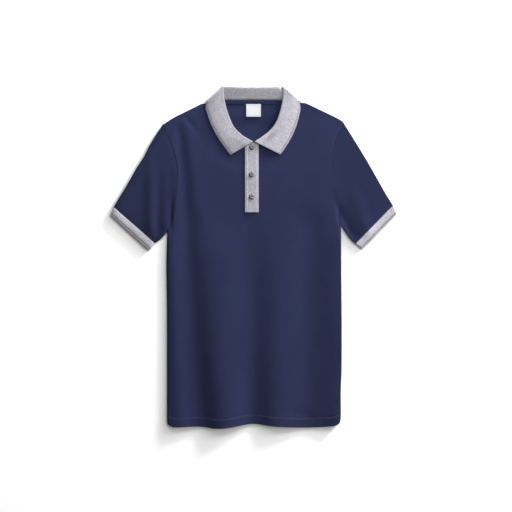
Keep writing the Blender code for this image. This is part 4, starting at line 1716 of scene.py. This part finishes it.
    def _painted_shade_values(self, sections: list[Section], rows: int) -> np.ndarray:
        """Painted shade on the collar: most on the roll of the front's right half.

        A short patch of painted shade lies beside the roll near the left end as well.

        Args:
            sections: all sections.
            rows: the number of points on each.

        Returns:
            Sections x rows values from 0 up.
        """
        half_roll = 0.5 * self.roll_steps
        past = np.arange(rows) - self.stand_steps - half_roll
        roll = ease(np.abs(past), *(half_roll + rows_past for rows_past in self.shade_rows))
        order = np.arange(len(sections))
        side = np.where(order < len(sections) / 2, 1.0, self.left_shade)
        front = side * np.array([section.upward for section in sections])
        from_end = order[::-1] / self.front_sections
        patch = bell(from_end - self.end_shade_at, self.end_shade_length)
        across = bell(past - half_roll - self.end_shade_row, self.end_shade_width)
        return np.maximum(front[:, None] * roll, self.end_shade * patch[:, None] * across)


@dataclass
class Strip:
    """A flat piece on a layer: its place in plan, its wall and what it lies on."""

    name: str
    right: float
    left: float
    low: float
    high: float | Line
    thickness: float
    base: Field
    x_step: float = 1.5
    y_step: float = 3.0
    crown: Field | None = None
    side_ends: tuple[float, ...] = (0.0, 0.3, 0.8, 1.4)
    row_ends: tuple[float, ...] = (0.0, 0.3, 0.8, 1.4, 2.4)

    def build(self) -> Object:
        """Builds the strip, whose cloth coordinates are 0 in its middle.

        Returns:
            The strip, with its wall.
        """
        across = spread(self.left - self.right, self.x_step, self.side_ends)
        x = mix(self.right, self.left, across)
        high = self.high.crossing(0, x) if isinstance(self.high, Line) else np.full(len(x), self.high)
        rows = spread(float(high.mean()) - self.low, self.y_step, self.row_ends)
        y = mix(self.low, high[None], rows[:, None])
        x = np.broadcast_to(x[None], y.shape)
        z = self.base(x, y) + self.thickness
        if self.crown:
            z = z + self.crown(x, y)
        middle = Spot((self.right + self.left) / 2.0, (self.low + float(high.mean())) / 2.0)
        plan = np.stack([x, y], -1)
        thing = surface(self.name, np.concatenate([plan, z[..., None]], -1), plan - middle)
        wall(thing, self.thickness, -1.0)
        return thing


@dataclass
class Placket:
    """Button placket: a top band over an under band, edge-stitched, with three buttonholes.

    The stitch fields are the distances of the rows from the top band's edges, and the slope fields
    how far those edges drop. The under band is given by its right, left and low edges.
    """

    right: float = -18.7
    left: float = 10.8
    low: float = 96.5
    band_wall: float = 1.2
    gap: float = 0.3
    stitch_right: float = 5.0
    stitch_left: float = 3.8
    stitch_low: float = 3.4
    stitch_past_button: float = 12.0
    slope_right: float = 0.7
    slope_left: float = 0.6
    slope_low: float = 0.35
    pull: float = 0.25
    pull_width: float = 0.6
    under: tuple[float, float, float] = (-16.0, 8.0, 101.0)
    slack: float = 0.1
    button_gap: float = 0.3
    hole_below: float = 5.0
    hole_above: float = 8.4
    hole_half_width: float = 0.35
    hole_wall: float = 0.1
    bar_offset: float = 0.9
    stitches: Stitches = Stitches(length=2.6, gap=0.4, width=0.8, height=0.6)
    bars: Stitches = Stitches(length=0.9, gap=0.0, width=0.5, height=0.35)

    def top_face(self, x: np.ndarray, y: np.ndarray) -> np.ndarray:
        """Height of the top band's face."""
        return DRAPE.top(x, y) + self.gap + self.band_wall + self.crown(x, y)

    def crown(self, x: np.ndarray, y: np.ndarray) -> np.ndarray:
        """The band's relief: it slopes off outside its stitching and is pulled in along it.

        Args:
            x: x of the places.
            y: y of the places.

        Returns:
            Heights above the plain band, all 0 or below.
        """
        drop, pull = 0.0, 0.0
        for from_edge, stitch, slope in (
            (x - self.right, self.stitch_right, self.slope_right),
            (self.left - x, self.stitch_left, self.slope_left),
            (y - self.low, self.stitch_low, self.slope_low),
        ):
            drop = drop + slope * ease(from_edge, stitch, -stitch)
            pull = pull + bell(from_edge - stitch, self.pull_width)
        return -drop - self.pull * np.minimum(pull, 1.0)

    def button_base(self, x: float, y: float) -> float:
        """Height of the underside of a button at this place."""
        panel = float(DRAPE.free(np.array(x), np.array(y)))
        return panel + self.gap + self.band_wall + self.button_gap

    def build(self, rib: Material, thread: Material, dark: Material) -> list[Object]:
        """Builds and dresses both bands, their stitching and the buttonholes.

        Args:
            rib: the bands' cloth.
            thread: thread of the stitching.
            dark: the shade inside a buttonhole.

        Returns:
            The bands, stitching and buttonholes.
        """
        neck = front_neck()
        top = Strip(
            "placket_band_over", self.right, self.left, self.low, neck, self.band_wall,
            lambda x, y: DRAPE.top(x, y) + self.gap, crown=self.crown,
        )
        below = BodyPanel.thickness + self.gap + self.band_wall + self.slack
        under = Strip(
            "placket_band_under", *self.under, neck, self.band_wall, lambda x, y: DRAPE.top(x, y) - below
        )
        over = dressed(top.build(), rib, Slot.RIB, "placket_top_band")
        inside = dressed(under.build(), rib, Slot.RIB, "placket_under_band")
        return [over, inside, *self._stitching(thread), *self._buttonholes(thread, dark)]

    def _stitching(self, thread: Material) -> list[Object]:
        """Sews the rows along both edges and across the low end.

        Args:
            thread: their thread.

        Returns:
            The three rows.
        """
        low, high = self.low + self.stitch_low, Button.places[0].y + self.stitch_past_button
        right, left = self.right + self.stitch_right, self.left - self.stitch_left
        rows = {
            "right": (Spot(right, low), Spot(right, high)),
            "left": (Spot(left, low), Spot(left, high)),
            "low": (Spot(right, low), Spot(left, low)),
        }
        return [
            self.stitches.row(f"placket_stitches_{word}", Line(ends, 1), self.top_face, thread, Slot.RIB)
            for word, ends in rows.items()
        ]

    def _buttonholes(self, thread: Material, dark: Material) -> list[Object]:
        """Works a slit behind each button, which shows above the button.

        Args:
            thread: thread of the worked edge.
            dark: the shade inside the slit.

        Returns:
            The slits and their edges.
        """
        made = []
        half, aside = self.hole_half_width, self.bar_offset
        for name, x, y in Button.places:
            low, high = y - self.hole_below, y + self.hole_above
            # painted shade: a thin dark strip in each slit stands for the shade inside it
            slit = Strip(f"{name}_slit", x - half, x + half, low, high, self.hole_wall, self.top_face, 0.3)
            made.append(dressed(slit.build(), dark, Slot.RIB))
            right = Spot(x - aside, low), Spot(x - aside, high)
            left = Spot(x + aside, high), Spot(x + aside, low)
            edge = Line((*right, Spot(x, high + aside), *left), 1)
            made.append(self.bars.row(f"{name}_worked_edge", edge, self.top_face, thread, Slot.RIB))
        return made


class Place(NamedTuple):
    """Name and place of one button."""

    name: str
    x: float
    y: float


@dataclass
class Button:
    """A turned button with a raised rim and four sewn holes.

    Its profile gives radii and heights. It leans on its thread: each level is moved by lean times
    its height. The holes lie on a circle and are turned by an angle that grows with the button's y,
    so that no two buttons are sewn on alike.
    """

    place: Place
    base: float
    steps: int = 56
    lean: tuple[float, float] = (0.85, 0.7)
    hole_radius: float = 0.8
    hole_circle: float = 1.591
    turn: float = 0.3
    turn_by_y: float = 0.01
    drill_depth: float = 8.0
    sharp_angle: float = 50.0
    bars: Stitches = Stitches(length=2.2, gap=0.0, width=0.75, height=0.55)
    bar_sink: float = 0.1
    profile: tuple[tuple[float, float], ...] = (
        (0.0, 0.4), (1.7, 0.4), (2.1, 0.5), (2.6, 0.95), (3.1, 1.3), (3.6, 1.42), (3.9, 1.45), (4.1, 1.42),
        (4.4, 1.3), (4.8, 1.0), (5.3, 0.55), (5.72, 0.25), (5.72, 0.2), (5.4, 0.1), (4.7, 0.0), (0.0, 0.0),
    )
    places: ClassVar[tuple[Place, ...]] = (
        Place("button_top", -3.7, 236.4),
        Place("button_middle", -4.3, 176.9),
        Place("button_low", -4.2, 129.5),
    )

    def build(self, resin: Material, thread: Material) -> list[Object]:
        """Builds and dresses the button and its thread.

        Args:
            resin: the button's material.
            thread: the thread through its holes.

        Returns:
            The button and the thread.
        """
        disc = self._turned()
        self._drill(disc)
        button = dressed(disc, resin, Slot.BUTTON, self.place.name)
        return [button, self._thread(thread)]

    def _turned(self) -> Object:
        """Turns the button's body from its profile.

        Returns:
            The body, whose points carry their distance from its axis.
        """
        mesh = bmesh.new()
        centre = Vector((self.place.x, self.place.y, self.base)) * MM
        line = [mesh.verts.new(centre + Vector((r, 0.0, h)) * MM) for r, h in self.profile]
        edges = [mesh.edges.new(pair) for pair in zip(line[:-1], line[1:])]
        bmesh.ops.spin(
            mesh, geom=line + edges, cent=centre, axis=(0, 0, 1), angle=math.tau, steps=self.steps,
            use_merge=True,
        )
        bmesh.ops.remove_doubles(mesh, verts=mesh.verts, dist=1e-6)
        bmesh.ops.recalc_face_normals(mesh, faces=mesh.faces)
        made = bpy.data.meshes.new(f"{self.place.name}_turned")
        mesh.to_mesh(made)
        mesh.free()
        layer = made.attributes.new(RADIUS_LAYER, "FLOAT", "POINT")
        layer.data.foreach_set("value", [(vertex.co - centre).xy.length / MM for vertex in made.vertices])
        for vertex in made.vertices:
            vertex.co += Vector((*self.lean, 0.0)) * (vertex.co.z - centre.z)
        return in_scene(made.name, made)

    def _hole_places(self) -> list[Spot]:
        """Places the four holes.

        Returns:
            Their centres in plan, in order round the button.
        """
        _, x, y = self.place
        angles = (self.turn + self.turn_by_y * y + k * math.pi / 2.0 for k in range(4))
        return [Spot(x + self.hole_circle * math.cos(a), y + self.hole_circle * math.sin(a)) for a in angles]

    def _drill(self, disc: Object) -> None:
        """Cuts the holes through the body.

        Args:
            disc: the button's body.
        """
        drill = bmesh.new()
        for x, y in self._hole_places():
            made = bmesh.ops.create_cone(
                drill, cap_ends=True, segments=16, radius1=self.hole_radius * MM,
                radius2=self.hole_radius * MM, depth=self.drill_depth * MM,
            )
            bmesh.ops.translate(drill, verts=made["verts"], vec=Vector((x, y, self.base)) * MM)
        mesh = bpy.data.meshes.new("drill")
        drill.to_mesh(mesh)
        drill.free()
        cutter = bpy.data.objects.new("drill", mesh)
        bpy.context.scene.collection.objects.link(cutter)
        cut = disc.modifiers.new("Holes", "BOOLEAN")
        cut.object = cutter
        graph = bpy.context.evaluated_depsgraph_get()
        drilled = bpy.data.meshes.new_from_object(disc.evaluated_get(graph))
        disc.modifiers.clear()
        disc.data = drilled
        drilled.set_sharp_from_angle(angle=math.radians(self.sharp_angle))
        bpy.data.objects.remove(cutter, do_unlink=True)

    def _thread(self, thread: Material) -> Object:
        """Lays two bars of thread, each between two neighbouring holes.

        Args:
            thread: the thread's material.

        Returns:
            Both bars as one piece.
        """
        holes = self._hole_places()
        level = self.base + self.profile[0][1] - self.bar_sink
        corners, faces = [], []
        for ends in (holes[:2], holes[2:]):
            self.bars.stitch(np.array(ends), lambda x, y: np.full(np.shape(x), level), corners, faces)
        mesh = bpy.data.meshes.new(f"{self.place.name}_thread")
        mesh.from_pydata((np.array(corners) * MM).tolist(), [], faces)
        return dressed(in_scene(mesh.name, mesh), thread, Slot.BUTTON)


class Patch(NamedTuple):
    """The edges of a rectangle in plan."""

    right: float
    left: float
    low: float
    high: float

    def inset(self, by: float) -> Patch:
        """The rectangle with its edges moved in."""
        return Patch(self.right + by, self.left - by, self.low + by, self.high - by)


@dataclass
class NeckTrims:
    """Tape over the back neck seam, and the label below it."""

    thickness: float = 0.9
    gap: float = 0.3
    tape: Patch = Patch(-65.0, 64.0, 330.2, 337.4)
    label: Patch = Patch(-16.0, 15.3, 302.3, 329.4)
    tape_inset: float = 1.0
    label_inset: float = 1.1
    fine: Stitches = Stitches(length=1.7, gap=0.5, width=0.3, height=0.22)

    def base(self, x: np.ndarray, y: np.ndarray) -> np.ndarray:
        """Height just above the inner face of the back."""
        return DRAPE.back(x, y) + BodyPanel.thickness + self.gap

    def face(self, x: np.ndarray, y: np.ndarray) -> np.ndarray:
        """Height of the trims' upper face."""
        return self.base(x, y) + self.thickness

    def build(self, tape: Material, label: Material, navy: Material, pale: Material) -> list[Object]:
        """Builds and dresses tape, label and their stitches.

        Args:
            tape: the tape's material.
            label: the label's material.
            navy: thread on the tape.
            pale: thread on the label.

        Returns:
            The pieces.
        """
        band = Strip("neck_tape_band", *self.tape, self.thickness, self.base)
        patch = Strip("neck_label_patch", *self.label, self.thickness, self.base)
        made = [
            dressed(band.build(), tape, Slot.TAPE, "neck_tape"),
            dressed(patch.build(), label, Slot.LABEL, "neck_label"),
        ]
        right, left, low, high = self.tape.inset(self.tape_inset)
        for word, y in (("low", low), ("high", high)):
            row = Line((Spot(right, y), Spot(left, y)), 1)
            made.append(STITCHES.row(f"neck_tape_stitches_{word}", row, self.face, navy, Slot.TAPE))
        right, left, low, high = self.label.inset(self.label_inset)
        first = Spot(right, low)
        round_label = Line((first, Spot(right, high), Spot(left, high), Spot(left, low), first), 1)
        made.append(self.fine.row("neck_label_stitches", round_label, self.face, pale, Slot.LABEL))
        return made


@dataclass
class Topstitching:
    """Stitched rows on the body: the hem's twin rows and one row above each cuff."""

    twin_gap: float = 2.6
    hem_reach: float = 182.0
    hem_points: int = 60
    above_cuff: float = 2.2
    from_folds: float = 0.03

    def build(self, thread: Material) -> list[Object]:
        """Sews the rows.

        Args:
            thread: their thread.

        Returns:
            The hem's two rows, and one row for each sleeve.
        """
        made = []
        x = np.linspace(-self.hem_reach, self.hem_reach, self.hem_points)
        for word, up in (("high", DRAPE.hem_width), ("low", DRAPE.hem_width - self.twin_gap)):
            row = Line(np.stack([x, HEM.crossing(0, x) + up], -1), 1)
            made.append(STITCHES.row(f"hem_stitches_{word}", row, DRAPE.top, thread, Slot.BODY))
        for side in SIDES:
            folds = side.upper_fold, side.lower_fold
            upper, lower = (fold.along(1.0 - self.above_cuff / fold.length) for fold in folds)
            row = Line([mix(upper, lower, share) for share in (self.from_folds, 1.0 - self.from_folds)], 1)
            made.append(STITCHES.row(f"sleeve_{side.word}_stitches", row, DRAPE.top, thread, Slot.BODY))
        return made


class Lamp(NamedTuple):
    """A soft rectangular light: the direction to it in degrees, its distance, size and power."""

    name: str
    azimuth: float
    elevation: float
    distance: float
    width: float
    height: float
    power: float


@dataclass
class Studio:
    """Pale floor, soft light from the upper right and a camera straight above.

    frame_width is what the camera takes in at the shirt's level, and aim the middle of that.
    """

    frame_width: float = 1.1008
    lens: float = 100.0
    sensor: float = 36.0
    aim: tuple[float, float] = (0.00516, 0.00258)
    shirt_level: float = 0.007
    floor_size: float = 16.0
    floor_drop: float = 0.0003
    floor_colour: Colour = (0.95, 0.95, 0.95)
    sky_azimuth: float = 10.0
    sky_bright: float = 0.55
    sky_dim: float = 0.10
    lamps: tuple[Lamp, ...] = (
        Lamp("low", 49.0, 8.0, 5.0, 1.5, 0.9, 850.0),
        Lamp("middle", 38.0, 19.0, 5.0, 1.5, 1.3, 190.0),
        Lamp("high", 10.0, 45.0, 5.0, 2.5, 2.5, 70.0),
        Lamp("top", 88.0, 48.0, 1.1, 0.6, 0.5, 5.4),
    )

    def build(self) -> None:
        """Sets up floor, lights, world and camera."""
        self._floor()
        self._world()
        for lamp in self.lamps:
            self._light(lamp)
        self._camera()

    @staticmethod
    def _direction(azimuth: float, elevation: float) -> Vector:
        """The direction towards a light, from its angles in degrees."""
        turn, up = math.radians(azimuth), math.radians(elevation)
        return Vector((math.cos(turn) * math.cos(up), math.sin(turn) * math.cos(up), math.sin(up)))

    def _floor(self) -> None:
        """The surface that the shirt lies on."""
        mesh = bmesh.new()
        bmesh.ops.create_grid(mesh, x_segments=1, y_segments=1, size=self.floor_size / 2.0)
        bmesh.ops.translate(mesh, verts=mesh.verts, vec=(0.0, 0.0, -self.floor_drop))
        made = bpy.data.meshes.new("floor")
        mesh.to_mesh(made)
        mesh.free()
        floor = in_scene("floor", made)
        tree = Tree("pale_floor")
        tree.set(base_color=(*self.floor_colour, 1.0), roughness=1.0, specular_ior_level=0.0)
        made.materials.append(tree.material)

    def _world(self) -> None:
        """Light from all round, much brighter on the lamps' side."""
        world = bpy.data.worlds.new("studio")
        world.use_nodes = True
        nodes, links = world.node_tree.nodes, world.node_tree.links
        facing = nodes.new("ShaderNodeVectorMath")
        facing.operation = "DOT_PRODUCT"
        facing.inputs[1].default_value = self._direction(self.sky_azimuth, 0.0)
        links.new(nodes.new("ShaderNodeTexCoord").outputs["Generated"], facing.inputs[0])
        strength = nodes.new("ShaderNodeMapRange")
        for socket, value in zip(strength.inputs[1:5], (-1.0, 1.0, self.sky_dim, self.sky_bright)):
            socket.default_value = value
        links.new(facing.outputs["Value"], strength.inputs[0])
        background = nodes["Background"]
        background.inputs[0].default_value = (1.0, 1.0, 1.0, 1.0)
        links.new(strength.outputs[0], background.inputs[1])
        bpy.context.scene.world = world
        bpy.context.scene.view_settings.view_transform = "Standard"

    def _light(self, lamp: Lamp) -> None:
        """Sets up one lamp, turned to the middle of the shirt.

        Args:
            lamp: its place, size and power.
        """
        data = bpy.data.lights.new(lamp.name, "AREA")
        data.shape = "RECTANGLE"
        data.size, data.size_y = lamp.width, lamp.height
        data.energy = lamp.power
        towards = self._direction(lamp.azimuth, lamp.elevation)
        thing = bpy.data.objects.new(lamp.name, data)
        thing.location = towards * lamp.distance
        thing.rotation_euler = towards.to_track_quat("Z", "Y").to_euler()
        bpy.context.scene.collection.objects.link(thing)

    def _camera(self) -> None:
        """A long lens straight above the shirt, with the collar at the top of the frame."""
        data = bpy.data.cameras.new("camera")
        data.lens = self.lens
        data.sensor_width = self.sensor
        camera = bpy.data.objects.new("camera", data)
        height = self.frame_width * self.lens / self.sensor + self.shirt_level
        camera.location = (*self.aim, height)
        bpy.context.scene.collection.objects.link(camera)
        bpy.context.scene.camera = camera


def report(pieces: Iterable[Object]) -> None:
    """Logs each piece with its number of faces."""
    for piece in pieces:
        LOG.info("%s: %d faces", piece.name, len(piece.data.polygons))


def main() -> None:
    """Builds the studio and every piece of the shirt, in the order they lie."""
    logging.basicConfig(level=logging.INFO, format="%(message)s")
    Studio().build()
    pique = PiqueKnit().material()
    rib = MelangeRib(welt=Collar.welt * MM).material()
    cuff_rib = MelangeRib(
        name="grey_melange_cuff_knit", pale=(0.43, 0.42, 0.465), dark=(0.24, 0.232, 0.266),
        welt_pale=(0.33, 0.32, 0.35), welt_dark=(0.19, 0.18, 0.21), welt=Cuff.welt * MM,
    ).material()
    band_rib = MelangeRib(name="grey_melange_band_knit", rib=0.0014).material()
    navy, grey, dark = (thread.material() for thread in (NAVY_THREAD, GREY_THREAD, DARK_THREAD_AND_SLIT_SHADE))

    cloth = {"back": BodyPanel(Layer.UNDER, "back", BACK_HEM_RISE).build(pique)}
    cloth["front"] = BodyPanel(Layer.TOP, "front").build(pique)
    for side in SIDES:
        cloth[f"sleeve_{side.word}"] = Sleeve(side).build(pique)
        cloth[f"cuff_{side.word}"] = Cuff(side).build(cuff_rib)
    cloth["collar"] = Collar().build(rib)
    placket = Placket()
    cloth["over"], cloth["inside"], *on_placket = placket.build(band_rib, grey, dark)
    tape, label = HerringboneTape().material(), WovenLabel().material()
    cloth["tape"], cloth["label"], *at_neck = NeckTrims().build(tape, label, navy, grey)
    resin = PolishedButton().material()
    buttons = []
    for place in Button.places:
        buttons += Button(place, placket.button_base(place.x, place.y)).build(resin, dark)
    rows = Topstitching().build(navy)
    report([*cloth.values(), *on_placket, *at_neck, *buttons, *rows])


if __name__ == "__main__":
    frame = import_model()
    main()
